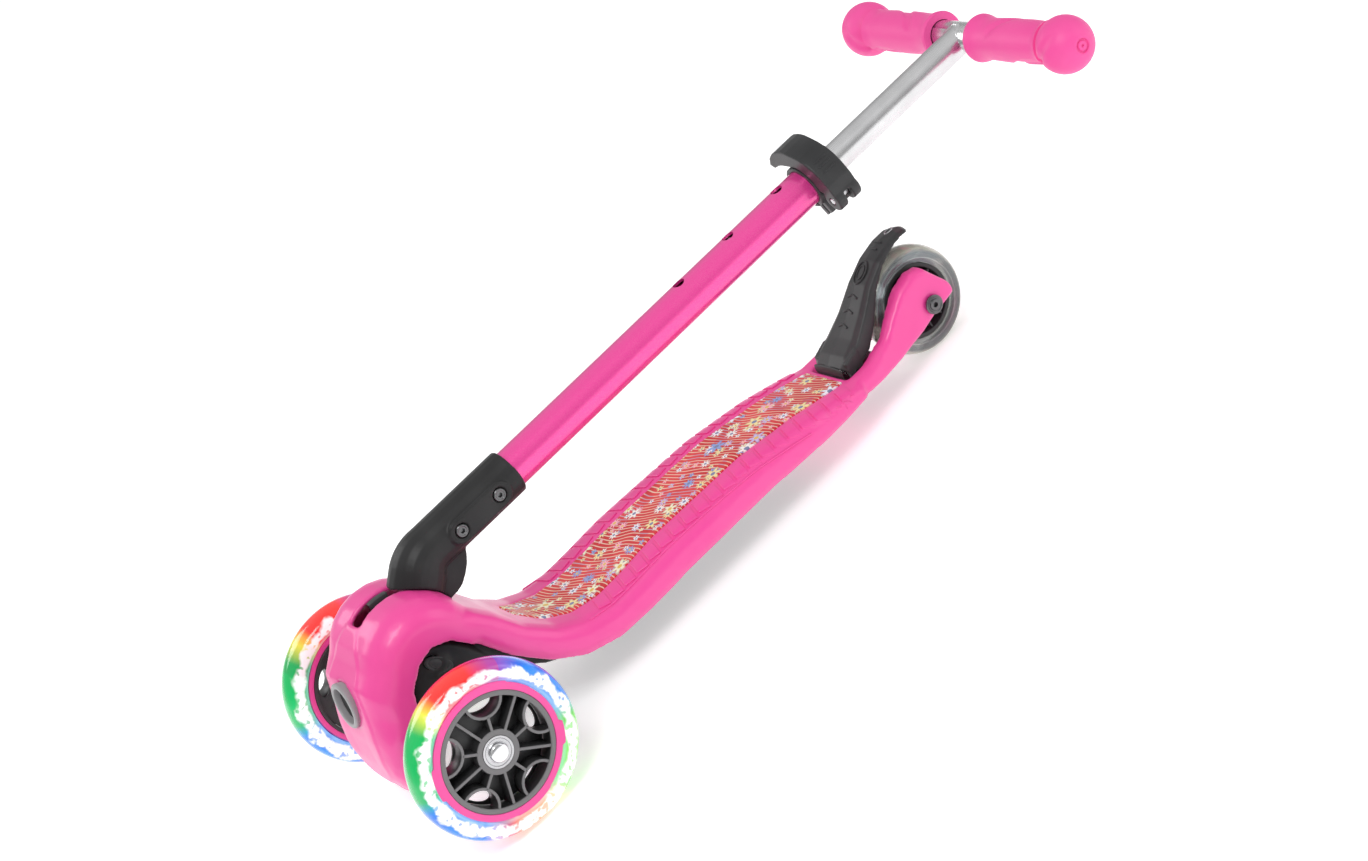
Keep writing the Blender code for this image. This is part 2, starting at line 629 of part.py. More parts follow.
def make_front_wheel(steer, side, name):
    """Tyre, light ring, spoked rim, two bearings, sleeve, spacer and cap on one end of the front axle."""
    y = side * FRONT_HALF
    half = FRONT_WHEEL_WIDTH / 2
    ring_outer = FRONT_WHEEL_RADIUS - 0.0150
    rim_outer = ring_outer - 0.0045
    hub_outer = BEARING_RADIUS + 0.0040
    crown = FRONT_WHEEL_RADIUS
    tyre = [(ring_outer + GAP, -half + 0.0030), (crown - 0.0100, -half + 0.0005), (crown - 0.0045, -half + 0.0015),
            (crown - 0.0012, -half + 0.0050), (crown, 0), (crown - 0.0012, half - 0.0050),
            (crown - 0.0045, half - 0.0015), (crown - 0.0100, half - 0.0005), (ring_outer + GAP, half - 0.0030)]
    on_front_axle(lathe(tyre, FINE), f"front_tyre_{name}", "clear_urethane", steer, y, side)
    on_front_axle(lathe(sleeve(rim_outer + GAP, ring_outer, -half + 0.0035, half - 0.0025, 0.0006), FINE),
                  f"front_light_ring_{name}", "pink_plastic", steer, y, side)
    rim = on_front_axle(lathe(sleeve(rim_outer - 0.0035, rim_outer, -half + 0.0025, half - 0.0012, 0.0006), FINE),
                        f"front_rim_{name}", "grey_plastic", steer, y, side)
    hub = on_front_axle(lathe(sleeve(BEARING_RADIUS - 0.0020, hub_outer, -half + 0.0030, half - 0.0020), ROUND),
                        f"rim_hub_form_{name}", None, steer, y, side)
    join(rim, hub)
    reach = (hub_outer - 0.001, rim_outer - 0.0015)
    for i in range(5):
        for lean in (-1, 1):
            outline = [(reach[0], lean * 0.0020 - 0.0011), (reach[1], lean * 0.0042 - 0.0011),
                       (reach[1], lean * 0.0042 + 0.0011), (reach[0], lean * 0.0020 + 0.0011)]
            bm = plate(outline, -half + 0.0045, half - 0.0042, axis="Z")
            bmesh.ops.rotate(bm, verts=bm.verts, matrix=Matrix.Rotation(2 * math.pi * i / 5, 3, "Z"))
            join(rim, on_front_axle(bm, f"spoke_form_{name}_{i}_{lean + 1}", None, steer, y, side))
    seat = BEARING_RADIUS + GAP
    for end, place in ((1, "outer"), (-1, "inner")):
        low, high = sorted((end * (half - 0.0020 - BEARING_WIDTH - GAP), end * (half + 0.01)))
        cut(rim, on_front_axle(lathe(rod(seat, low, high), ROUND), f"seat_cutter_{name}_{place}", None, steer, y, side))
        low, high = sorted((end * (half - 0.0020 - BEARING_WIDTH), end * (half - 0.0020)))
        on_front_axle(lathe(sleeve(AXLE_RADIUS + GAP, BEARING_RADIUS, low, high, 0.0004), ROUND),
                      f"front_bearing_{name}_{place}", "steel", steer, y, side)
    inner_end = half - 0.0020 - BEARING_WIDTH - GAP
    on_front_axle(lathe(sleeve(AXLE_RADIUS + GAP, 0.0070, -inner_end, inner_end), SMALL),
                  f"front_magnet_sleeve_{name}", "dark_plastic", steer, y, side)
    inside = FRONT_HALF - half + 0.0020
    on_front_axle(lathe(sleeve(AXLE_RADIUS + GAP, 0.0065, -(inside - TRUCK_HALF) / 2 + GAP,
                               (inside - TRUCK_HALF) / 2 - GAP), SMALL),
                  f"front_spacer_{name}", "steel", steer, side * (inside + TRUCK_HALF) / 2, side)
    out = half - 0.0020 + GAP
    cap = [(AXLE_RADIUS + GAP, out), (0.0068, out), (0.0068, out + 0.0008), (0.0055, out + 0.0022),
           (0.0030, out + 0.0030), (0, out + 0.0032), (0, out + 0.0022), (AXLE_RADIUS + GAP, out + 0.0018)]
    on_front_axle(lathe(cap, SMALL + 4), f"front_axle_cap_{name}", "chrome", steer, y, side)


def make_front_axle(steer):
    reach = FRONT_HALF + FRONT_WHEEL_WIDTH / 2 - 0.0006
    on_front_axle(lathe(rod(AXLE_RADIUS, -reach, reach, 0.0005), SMALL + 4), "front_axle", "steel", steer)


def make_rear_wheel(root):
    """Tyre, core, two bearings, sleeve, axle bolt and nut between the fork's arms."""
    half = REAR_WHEEL_WIDTH / 2
    core_outer = REAR_WHEEL_RADIUS - 0.0125
    crown = REAR_WHEEL_RADIUS
    axle = empty("rear_axle_axis", (0, 0, REAR_WHEEL_RADIUS), along_y(), root)
    tyre = [(core_outer + GAP, -half + 0.0020), (crown - 0.0070, -half), (crown - 0.0025, -half + 0.0028),
            (crown, -half + 0.0085), (crown, half - 0.0085), (crown - 0.0025, half - 0.0028),
            (crown - 0.0070, half), (core_outer + GAP, half - 0.0020)]
    finish(lathe(tyre, FINE), "rear_tyre", "smoke_urethane", axle)
    hub = BEARING_RADIUS + 0.0035
    web = half - 0.0045
    core = [(BEARING_RADIUS - 0.0020, -half + 0.0010), (hub, -half + 0.0010), (hub + 0.0015, -web),
            (core_outer - 0.0035, -web), (core_outer - 0.0025, -half + 0.0022), (core_outer, -half + 0.0022),
            (core_outer, half - 0.0022), (core_outer - 0.0025, half - 0.0022), (core_outer - 0.0035, web),
            (hub + 0.0015, web), (hub, half - 0.0010), (BEARING_RADIUS - 0.0020, half - 0.0010)]
    rear_core = finish(lathe(core, FINE), "rear_core", "dark_plastic", axle)
    for end, place in ((1, "left"), (-1, "right")):
        low, high = sorted((end * (half - 0.0010 - BEARING_WIDTH - GAP), end * (half + 0.01)))
        cut(rear_core, finish(lathe(rod(BEARING_RADIUS + GAP, low, high)), f"rear_seat_{place}", None, axle))
        low, high = sorted((end * (half - 0.0010 - BEARING_WIDTH), end * (half - 0.0010)))
        finish(lathe(sleeve(AXLE_RADIUS + GAP, BEARING_RADIUS, low, high, 0.0004)), f"rear_bearing_{place}",
               "steel", axle)
    inner_end = half - 0.0010 - BEARING_WIDTH - GAP
    finish(lathe(sleeve(AXLE_RADIUS + GAP, 0.0070, -inner_end, inner_end), SMALL), "rear_sleeve", "steel", axle)
    face = FORK_INNER + 0.0142 + GAP
    bolt = [(0, -face - 0.0010), (AXLE_RADIUS, -face - 0.0010), (AXLE_RADIUS, face), (0.0072, face),
            (0.0072, face + 0.0012), (0.0058, face + 0.0030), (0.0026, face + 0.0034), (0.0026, face + 0.0012),
            (0, face + 0.0012)]
    finish(lathe(bolt, SMALL + 4), "rear_axle_bolt", "steel", axle, rotation=(0, 0, 0))
    finish(hex_nut(AXLE_RADIUS + GAP, 0.0075, -face - 0.0045, -face), "rear_axle_nut", "steel", axle)


# ---------------------------------------------------------------- brake

def brake_stations():
    """The pedal's crest: x, z, half width and skirt depth, from its hinge to its tip."""
    return [
        (0.0815, 0.0450, 0.0210, 0.0060),
        (0.0740, 0.0505, 0.0215, 0.0130),
        (0.0620, 0.0560, 0.0205, 0.0150),
        (0.0470, 0.0650, 0.0175, 0.0130),
        (0.0290, 0.0783, 0.0150, 0.0090),
        (0.0120, 0.0872, 0.0138, 0.0065),
        (-0.0040, 0.0912, 0.0130, 0.0050),
        (-0.0150, 0.0918, 0.0118, 0.0045),
        (-0.0220, 0.0895, 0.0098, 0.0040),
        (-0.0250, 0.0870, 0.0065, 0.0035),
    ]


def make_brake(root):
    """The pedal over the rear wheel, its pin and its return spring."""
    hinge = empty("brake_axis", (BRAKE_PIN_X, 0, BRAKE_PIN_Z), (0, 0, 0), root)
    stations = brake_stations()
    rings = []
    wall = 0.0026
    for i, (x, z, half, skirt) in enumerate(stations):
        before = stations[max(0, i - 1)]
        after = stations[min(len(stations) - 1, i + 1)]
        slope = math.atan2(after[1] - before[1], before[0] - after[0])
        up = Vector((math.sin(slope), 0, math.cos(slope)))
        crest = Vector((x - BRAKE_PIN_X, 0, z - BRAKE_PIN_Z))
        outer = [(1.0, -skirt), (0.98, -min(0.0036, 0.6 * skirt)), (0.72, -0.0012), (0.0, 0.0)]
        inner_half = max(half - wall, 0.3 * half)
        inner = [(1.0, -skirt), (0.96, -0.0034 - wall), (0.6, -0.0009 - wall), (0.0, -wall)]
        if skirt < wall + 0.0036:
            inner = [(1.0, -skirt), (0.96, -skirt), (0.6, -skirt), (0.0, -skirt)]
        ring = [crest + up * d + Vector((0, s * half, 0)) for s, d in outer]
        ring += [crest + up * d - Vector((0, s * half, 0)) for s, d in reversed(outer[:-1])]
        ring += [crest + up * d - Vector((0, s * inner_half, 0)) for s, d in inner]
        ring += [crest + up * d + Vector((0, s * inner_half, 0)) for s, d in reversed(inner[:-1])]
        rings.append(ring)
    pedal = finish(loft(rings), "brake_pedal", "dark_plastic", hinge)
    for side, name in ((1, "left"), (-1, "right")):
        ear = arc((0, 0), 0.0062, 180, 360, 8) + [(0.0058, 0.0110), (-0.0075, 0.0160)]
        low, high = sorted((side * 0.0165, side * 0.0212))
        join(pedal, finish(plate(ear, low, high), f"ear_form_{name}", None, hinge))
    cut(pedal, finish(lathe(rod(0.002 + GAP, -0.03, 0.03), SMALL), "ear_bore", None, hinge, rotation=along_y()))
    finish(lathe(rod(0.002, -0.033, 0.033, 0.0004), SMALL), "brake_pin", "steel", hinge, rotation=along_y())
    points = [(x, y - 0.006, z) for x, y, z in coil(0.0038, 0.012, 4, "Y")]
    make_wire("brake_spring", points, 0.0006, hinge)


def coil(radius, length, turns, axis):
    """The centre line of a coil spring that starts at zero on its axis."""
    points = []
    for i in range(turns * 8 + 1):
        a = 2 * math.pi * i / 8
        along = length * i / (turns * 8)
        u, v = radius * math.cos(a), radius * math.sin(a)
        points.append({"X": (along, u, v), "Y": (u, along, v), "Z": (u, v, along)}[axis])
    return points


def make_wire(name, points, radius, parent):
    """A round wire through these points."""
    curve = bpy.data.curves.new(name, "CURVE")
    curve.dimensions = "3D"
    curve.bevel_depth = radius
    curve.bevel_resolution = 1
    curve.use_fill_caps = True
    spline = curve.splines.new("POLY")
    spline.points.add(len(points) - 1)
    for point, co in zip(spline.points, points):
        point.co = (*co, 1.0)
    curve.materials.append(paint("steel"))
    wire = bpy.data.objects.new(name, curve)
    wire.parent = parent
    bpy.context.scene.collection.objects.link(wire)
    return wire


# ---------------------------------------------------------------- T-bar

def elbow_rings():
    """The elbow's bent body: from inside the dome, round the bend, and along the tube to its mouth."""
    direction = Vector((math.cos(NECK_ANGLE), 0, math.sin(NECK_ANGLE)))
    corner = direction * (TUBE_OFFSET / math.cos(NECK_ANGLE))
    bend = 0.022 * math.tan((math.pi / 2 - NECK_ANGLE) / 2)
    path = [(direction * 0.030, direction, NECK_RADIUS), (direction * 0.046, direction, NECK_RADIUS)]
    steps = 6
    start = corner - direction * bend
    end = corner + Vector((0, 0, bend))
    for i in range(steps + 1):
        share = i / steps
        a = NECK_ANGLE + (math.pi / 2 - NECK_ANGLE) * share
        here = (1 - share) ** 2 * start + 2 * share * (1 - share) * corner + share ** 2 * end
        radius = NECK_RADIUS + (ELBOW_RADIUS - NECK_RADIUS) * share
        path.append((here, Vector((math.cos(a), 0, math.sin(a))), radius))
    path.append((Vector((TUBE_OFFSET, 0, ELBOW_MOUTH - 0.0012)), Vector((0, 0, 1)), ELBOW_RADIUS))
    path.append((Vector((TUBE_OFFSET, 0, ELBOW_MOUTH)), Vector((0, 0, 1)), ELBOW_RADIUS - 0.0012))
    rings = []
    for here, ahead, radius in path:
        across = Vector((0, 1, 0)).cross(ahead)
        ring = []
        for i in range(ROUND):
            a = 2 * math.pi * i / ROUND
            ring.append(here + radius * (math.cos(a) * across + math.sin(a) * Vector((0, 1, 0))))
        rings.append(ring)
    return rings


def make_elbow(tbar):
    """The black elbow: a saddle on the head's dome, two blades down to the fold pin, and the tube's socket."""
    elbow = finish(loft(elbow_rings()), "elbow_socket", "black_plastic", tbar)
    pad_half = 0.0088
    low, high = BOLT_REACHES[0] - 0.001, BOLT_REACHES[1] + 0.001
    pad = [(TUBE_OFFSET + a, b) for a, b in arc((0, low), pad_half, 180, 360, 8) + arc((0, high), pad_half, 0, 180, 8)]
    face = ELBOW_RADIUS + 0.0014
    pad_form = finish(plate(pad, -face, face), "pad_form", None, tbar)
    gusset = [(0.0400, 0.0400), (0.0300, 0.0300), (0.0075, 0.0420), (0.0080, 0.0500), (0.0095, 0.0555),
              (0.0135, 0.0615), (0.0180, 0.0665), (0.0235, 0.0705), (0.0300, 0.0740), (0.0400, 0.0740)]
    join(elbow, pad_form, finish(plate(gusset, -0.0080, 0.0080), "gusset_form", None, tbar))
    dome = finish(lathe(rod(DOME_RADIUS + RUN, -0.03, 0.03), 48), "saddle_cutter", None, tbar, rotation=along_y())
    cut(elbow, dome)
    start, end = frame_angle(BLADE_START), frame_angle(BLADE_END)
    for side, name in ((1, "left"), (-1, "right")):
        near, far = side * BLADE_INNER, side * BLADE_OUTER
        low_y, high_y = sorted((near, far))
        blade = arc((0, 0), DOME_RADIUS + 0.008, math.degrees(start), math.degrees(end), 4)
        blade += arc((0, 0), HUB_RADIUS, math.degrees(end) + 45, math.degrees(start) + 300, 8)
        join(elbow, finish(plate(blade, low_y, high_y), f"blade_form_{name}", None, tbar))
    bores = [(lathe(rod(0.0042 + RUN, -0.03, 0.03), SMALL), "hub_bore", (0, 0, 0), along_y())]
    bores.append((lathe(rod(TUBE_RADIUS + GAP, TUBE_START - GAP, ELBOW_MOUTH + 0.02)), "tube_bore",
                  (TUBE_OFFSET, 0, 0), (0, 0, 0)))
    for i, reach in enumerate(BOLT_REACHES):
        profile = [(0, -face - 0.01), (0.0054, -face - 0.01), (0.0054, -face + 0.0026), (BOLT_RADIUS + GAP, -face + 0.0026),
                   (BOLT_RADIUS + GAP, face - 0.0026), (0.0054, face - 0.0026), (0.0054, face + 0.01), (0, face + 0.01)]
        bores.append((lathe(profile, ROUND), f"elbow_bolt_bore_{i}", (TUBE_OFFSET, 0, reach), along_y()))
    for bm, name, place, turn in bores:
        cut(elbow, finish(bm, name, None, tbar, place, turn))
    for reach, name in zip(BOLT_REACHES, ("lower", "upper")):
        seat = face - 0.0026 + GAP
        bolt = [(0, -seat - 0.0005), (BOLT_RADIUS, -seat - 0.0005), (BOLT_RADIUS, seat), (0.0048, seat),
                (0.0048, seat + 0.0012), (0.0040, seat + 0.0021), (0.0018, seat + 0.0021), (0.0018, seat + 0.0006),
                (0, seat + 0.0006)]
        finish(lathe(bolt, SMALL), f"elbow_bolt_{name}", "steel", tbar, (TUBE_OFFSET, 0, reach), along_y())
        finish(hex_nut(BOLT_RADIUS + GAP, 0.0048, -seat - 0.0022, -seat), f"elbow_nut_{name}", "steel", tbar,
               (TUBE_OFFSET, 0, reach), along_y())


def frame_angle(world):
    """A world angle about the fold axis (0 forward, 90 degrees up) in the T-bar's own frame."""
    return world - TBAR_TURN


def make_lower_tube(tbar):
    tube = finish(lathe(sleeve(TUBE_INNER, TUBE_RADIUS, TUBE_START, TUBE_END)), "lower_tube", "pink_paint",
                  tbar, (TUBE_OFFSET, 0, 0))
    for i, reach in enumerate(BOLT_REACHES):
        cut(tube, finish(lathe(rod(BOLT_RADIUS + GAP, -0.02, 0.02), SMALL), f"tube_bolt_bore_{i}", None, tbar,
                         (TUBE_OFFSET, 0, reach), along_y()))
    for step in (-1, 0, 1):
        hole = finish(lathe(rod(0.0032, 0.0, 0.02), SMALL), f"height_hole_{step + 1}", None, tbar,
                      (TUBE_OFFSET, 0, MIDDLE_HOLE + step * HOLE_PITCH), (0, math.pi / 2, 0))
        cut(tube, hole)
    bush_outer = TUBE_INNER - GAP
    bush_inner = STEM_RADIUS + GAP
    bush = [(bush_inner, TUBE_END - 0.020), (bush_outer, TUBE_END - 0.020), (bush_outer, TUBE_END + GAP),
            (TUBE_RADIUS - 0.0006, TUBE_END + GAP), (TUBE_RADIUS - 0.0006, TUBE_END + 0.0016), (bush_inner, TUBE_END + 0.0016)]
    finish(lathe(bush), "tube_bush", "dark_plastic", tbar, (TUBE_OFFSET, 0, 0))


def make_stem(tbar):
    """The upper tube and the crossbar welded to its top, with the spring button and its leaf spring inside."""
    low = MIDDLE_HOLE - 0.045
    stem = finish(lathe(sleeve(STEM_RADIUS - STEM_WALL, STEM_RADIUS, low, CROSSBAR_REACH)), "upper_tube",
                  "brushed_aluminium", tbar, (TUBE_OFFSET, 0, 0))
    bar = finish(lathe(rod(STEM_RADIUS, -CROSSBAR_HALF, CROSSBAR_HALF, 0.0008)), "crossbar_form", None, tbar,
                 (TUBE_OFFSET, 0, CROSSBAR_REACH), along_y())
    join(stem, bar)
    cut(stem, finish(lathe(rod(0.0030, 0.0, 0.015), SMALL), "button_bore", None, tbar,
                     (TUBE_OFFSET, 0, MIDDLE_HOLE), (0, math.pi / 2, 0)))
    inner = STEM_RADIUS - STEM_WALL
    top = TUBE_INNER - GAP
    button = [(0, inner - 0.0030), (0.0044, inner - 0.0030), (0.0044, inner - 0.0018), (0.0026, inner - 0.0018),
              (0.0026, top - 0.0012), (0.0016, top - 0.0002), (0, top)]
    finish(lathe(button, SMALL), "height_button", "steel", tbar, (TUBE_OFFSET, 0, MIDDLE_HOLE), (0, math.pi / 2, 0))
    leaf = [(-inner + 0.0012, -0.0200), (-inner + 0.0020, -0.0200), (-0.0020, 0.0060), (inner - 0.0055, 0.0060),
            (inner - 0.0055, 0.0068), (-0.0026, 0.0068)]
    strip = [(TUBE_OFFSET + a, MIDDLE_HOLE + b) for a, b in leaf]
    finish(plate(strip, -0.0030, 0.0030), "height_button_spring", "steel", tbar)


def make_grip(tbar, side, name):
    """A moulded grip with a flange at its inner end and a ball at its outer end, and the plug in its end."""
    bore = STEM_RADIUS + GAP
    ball = GRIP_BALL_RADIUS
    start = GRIP_START
    neck = GRIP_REACH - 0.0135
    profile = [(bore, start), (0.0160, start), (0.0172, start + 0.0014), (0.0172, start + 0.0040),
               (0.0148, start + 0.0085), (0.0154, start + 0.0300), (0.0154, start + 0.0520), (0.0146, neck - 0.0040)]
    profile += [(ball * math.cos(a), GRIP_REACH + ball * math.sin(a))
                for a in (math.radians(d) for d in (-42, -20, 0, 22, 44, 62))]
    end = GRIP_REACH + ball * math.sin(math.radians(62))
    profile += [(0.0085, end + 0.0012), (0.0085, CROSSBAR_HALF + GAP), (bore, CROSSBAR_HALF + GAP)]
    finish(lathe(profile, ROUND), f"grip_{name}", "pink_rubber", tbar, (TUBE_OFFSET, 0, CROSSBAR_REACH), along_y(side))
    plug = [(0, CROSSBAR_HALF + 2 * GAP), (0.0082, CROSSBAR_HALF + 2 * GAP), (0.0082, end + 0.0012),
            (0.0070, end + 0.0018), (0, end + 0.0020)]
    finish(lathe(plug, 16), f"grip_plug_{name}", "pink_rubber", tbar, (TUBE_OFFSET, 0, CROSSBAR_REACH), along_y(side))


def clamp_pin_place():
    a = math.radians(CLAMP_PIN_ANGLE)
    return (TUBE_OFFSET + CLAMP_PIN_REACH * math.cos(a), CLAMP_PIN_REACH * math.sin(a))


def make_clamp(tbar):
    """The split collar round the tube's top, its quick-release lever, the lever's pin, and the eye bolt with its nut."""
    inner = TUBE_RADIUS + GAP
    outer = TUBE_RADIUS + 0.0032
    collar = finish(lathe(sleeve(inner, outer, CLAMP_LOW, CLAMP_HIGH, 0.0005)), "clamp_collar", "brushed_aluminium",
                    tbar, (TUBE_OFFSET, 0, 0))
    middle = (CLAMP_LOW + CLAMP_HIGH) / 2
    turn = (0, 0, math.radians(CLAMP_PIN_ANGLE + 50))
    lug = finish(box((outer - 0.0020, -0.0055, CLAMP_LOW + 0.002), (outer + 0.0085, 0.0055, CLAMP_HIGH - 0.002)),
                 "lug_form", None, tbar, (TUBE_OFFSET, 0, 0), turn)
    join(collar, lug)
    gap = finish(box((inner - 0.004, -0.0010, CLAMP_LOW - 0.002), (outer + 0.012, 0.0010, CLAMP_HIGH + 0.002)),
                 "gap_cutter", None, tbar, (TUBE_OFFSET, 0, 0), turn)
    bolt_reach = outer + 0.0045
    bore = finish(lathe(rod(0.0020 + GAP, -0.02, 0.02), SMALL), "clamp_bolt_bore", None, tbar)
    bore.matrix_local = clamp_bolt_frame(bolt_reach, middle)
    cut(collar, gap, bore)
    bolt = [(0, -0.0095), (0.0042, -0.0095), (0.0042, -0.0060), (0.0020, -0.0060), (0.0020, 0.0120), (0, 0.0120)]
    screw = finish(lathe(bolt, SMALL), "clamp_bolt", "steel", tbar)
    screw.matrix_local = clamp_bolt_frame(bolt_reach, middle)
    make_lever(tbar, outer, middle)


def clamp_bolt_frame(reach, middle):
    """The clamp bolt's frame: its Z runs square across the collar's gap."""
    a = math.radians(CLAMP_PIN_ANGLE + 50)
    place = Vector((TUBE_OFFSET + reach * math.cos(a), reach * math.sin(a), middle))
    across = Vector((math.sin(a), -math.cos(a), 0))
    return Matrix.Translation(place) @ across.to_track_quat("Z", "Y").to_matrix().to_4x4()


def make_lever(tbar, collar_outer, middle):
    """The lever that wraps the collar from its pin, over the top, to its free end. Its frame is the pin's axis."""
    pin_x, pin_y = clamp_pin_place()
    hinge = empty("clamp_axis", (pin_x, pin_y, 0), (0, 0, 0), tbar)
    inner = collar_outer + RUN
    outline = []
    back = []
    for i in range(13):
        degrees = CLAMP_PIN_ANGLE - 12 - (CLAMP_PIN_ANGLE - 12 + 60) * i / 12
        a = math.radians(degrees)
        far = inner + 0.0125 + 0.0050 * abs(degrees - 20) / 90
        near = inner + 0.0004 + (0.013 * ((-degrees - 10) / 56) ** 1.5 if degrees < -10 else 0.0)
        outline.append((TUBE_OFFSET + far * math.cos(a) - pin_x, far * math.sin(a) - pin_y))
        back.append((TUBE_OFFSET + near * math.cos(a) - pin_x, near * math.sin(a) - pin_y))
    low, high = middle - 0.0105, middle + 0.0105
    lever = finish(plate(outline + back[::-1], low, high, axis="Z"), "clamp_lever", "dark_plastic", hinge)
    boss = finish(lathe(rod(0.0085, low, high, 0.0008), 20), "lever_boss_form", None, hinge)
    join(lever, boss)
    slot = finish(box((-0.02, -0.0100, middle - 0.0032), (0.0030, 0.02, middle + 0.0032)), "lever_slot", None, hinge)
    bore = finish(lathe(rod(0.0026 + GAP, low - 0.01, high + 0.01), SMALL), "lever_bore", None, hinge)
    cut(lever, slot, bore)
    finish(lathe(rod(0.0026, low, high, 0.0004), SMALL), "clamp_pin", "steel", hinge)


def make_fold_parts(root, fold):
    """The fold pin and the release key in the slot at the head's top."""
    finish(lathe([(0, -0.0365), (0.0040, -0.0365), (0.0040, 0.0365), (0, 0.0365)], SMALL), "fold_pin", "steel",
           fold, rotation=along_y())
    front, rear = KEY_ANGLES
    place = (PIVOT_X, 0, FOLD_HEIGHT)
    key = arc((0, 0), DOME_RADIUS - 0.0001, rear, front, 5) + arc((0, 0), 0.030, front, rear, 5)
    finish(plate(key, -KEY_HALF, KEY_HALF), "fold_release_key", "dark_plastic", root, place)
    lean = math.radians((front + rear) / 2 - 90)
    spring = make_wire("fold_latch_spring", [(x, y, z + 0.0206) for x, y, z in coil(0.0018, 0.0086, 4, "Z")],
                       0.0004, root)
    spring.location = place
    spring.rotation_euler = (0, -lean, 0)


def make_lock(root):
    """The steering-lock button in the nose and the bezel round it."""
    turn = (0, math.pi / 2 - LOCK_TILT, 0)
    bezel_inner = LOCK_RADIUS + GAP
    bezel_outer = LOCK_RADIUS + 0.0028 - GAP
    bezel = [(bezel_inner, -0.0090), (bezel_outer, -0.0090), (bezel_outer, 0.0012), (LOCK_RADIUS + 0.0043, 0.0022),
             (LOCK_RADIUS + 0.0040, 0.0036), (bezel_inner + 0.0008, 0.0042), (bezel_inner, 0.0030)]
    finish(lathe(bezel, FINE), "lock_bezel", "grey_plastic", root, lock_place(), turn)
    button = [(0, -0.0085), (LOCK_RADIUS, -0.0085), (LOCK_RADIUS, -0.0010), (LOCK_RADIUS - 0.0012, 0.0002),
              (0.0060, -0.0008), (0, -0.0012)]
    finish(lathe(button, FINE), "steering_lock_button", "black_plastic", root, lock_place(), turn)
    spring = make_wire("steering_lock_spring", [(x, y, z - 0.0150) for x, y, z in coil(0.0030, 0.0058, 3, "Z")],
                       0.0004, root)
    spring.location = lock_place()
    spring.rotation_euler = turn


def main():
    clear_scene()
    root = empty("root", (-MIDDLE_X, 0, 0))
    make_deck_shell(root)
    make_grip_panel(root)
    make_underbody(root)
    steer = make_steering(root)
    make_front_axle(steer)
    for side, name in ((1, "left"), (-1, "right")):
        make_front_wheel(steer, side, name)
    make_rear_wheel(root)
    make_brake(root)
    fold = empty("fold_axis", (PIVOT_X, 0, FOLD_HEIGHT), (0, 0, 0), root)
    tbar = empty("tbar_frame", (0, 0, 0), (0, -TBAR_TURN, 0), fold)
    make_elbow(tbar)
    make_lower_tube(tbar)
    make_stem(tbar)
    for side, name in ((1, "left"), (-1, "right")):
        make_grip(tbar, side, name)
    make_clamp(tbar)
    make_fold_parts(root, fold)
    make_lock(root)


main()
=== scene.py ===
"""Looks of a child's folding three-wheel kick scooter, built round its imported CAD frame.

Every length is in metres in the frame's own axes: +X forward, +Y left, +Z up. Each sub-assembly is a class
that models its pieces, dresses them and hands them to the body that they ride on.
"""

import json
import logging
import math
from collections.abc import Callable, Iterator, Sequence
from contextlib import contextmanager
from dataclasses import dataclass
from enum import Enum

import bpy
import numpy as np
from mathutils import Matrix, Vector


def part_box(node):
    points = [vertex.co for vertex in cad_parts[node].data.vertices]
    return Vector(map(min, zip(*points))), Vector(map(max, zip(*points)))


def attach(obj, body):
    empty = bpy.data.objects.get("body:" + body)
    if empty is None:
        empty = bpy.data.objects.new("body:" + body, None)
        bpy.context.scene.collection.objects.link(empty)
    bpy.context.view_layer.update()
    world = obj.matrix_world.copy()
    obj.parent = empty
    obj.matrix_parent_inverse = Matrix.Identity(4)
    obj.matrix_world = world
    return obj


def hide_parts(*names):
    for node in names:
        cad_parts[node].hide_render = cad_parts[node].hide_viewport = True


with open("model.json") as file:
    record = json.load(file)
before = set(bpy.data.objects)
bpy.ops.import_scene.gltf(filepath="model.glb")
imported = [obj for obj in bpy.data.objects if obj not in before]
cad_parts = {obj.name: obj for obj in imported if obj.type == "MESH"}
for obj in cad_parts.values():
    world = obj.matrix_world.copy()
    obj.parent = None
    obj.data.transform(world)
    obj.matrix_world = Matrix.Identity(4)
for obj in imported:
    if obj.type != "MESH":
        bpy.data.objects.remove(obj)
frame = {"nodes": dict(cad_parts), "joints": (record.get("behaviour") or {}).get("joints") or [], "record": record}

LOG = logging.getLogger("scooter")
MM = 0.001
TURN = 2 * math.pi

Colour = tuple[float, float, float]
Point = Sequence[float]
Outline = Sequence[tuple[float, float]]


class Side(Enum):
    """The two sides of the scooter, as the sign of Y."""

    left = 1
    right = -1


# ---------------------------------------------------------------- places read from the frame

def joint(name: str) -> dict:
    """The frame's joint of this name."""
    return next(entry for entry in frame["joints"] if entry["name"] == name)


def pivot(name: str) -> Vector:
    """A point on a hinge's axis."""
    return Vector(joint(name)["pos_m"])


def middle(node: str) -> Vector:
    """The middle of a CAD node's box."""
    low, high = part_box(node)
    return (low + high) / 2


TUBE_RUN = Vector(joint("handlebar_height")["axis"]).normalized()
TUBE_OUT = Vector((TUBE_RUN.z, 0, -TUBE_RUN.x)).normalized()
FOLD_AXIS = pivot("fold")
FRONT_AXLE = Vector((pivot("front_wheel_left_spin").x, 0, pivot("front_wheel_left_spin").z))
REAR_AXLE = pivot("rear_wheel_spin")


def on_tube(reach: float, offset: float = 0.0427, side: float = 0.0) -> Vector:
    """A point of the T-bar.

    Args:
        reach: distance from the fold axis along the tube.
        offset: distance from the fold axis square to the tube; the default is the tube's own axis.
        side: distance to the left.

    Returns:
        The point in the frame's axes.
    """
    return FOLD_AXIS + TUBE_RUN * reach + TUBE_OUT * offset + Vector((0, side, 0))


# ---------------------------------------------------------------- modelling by operators

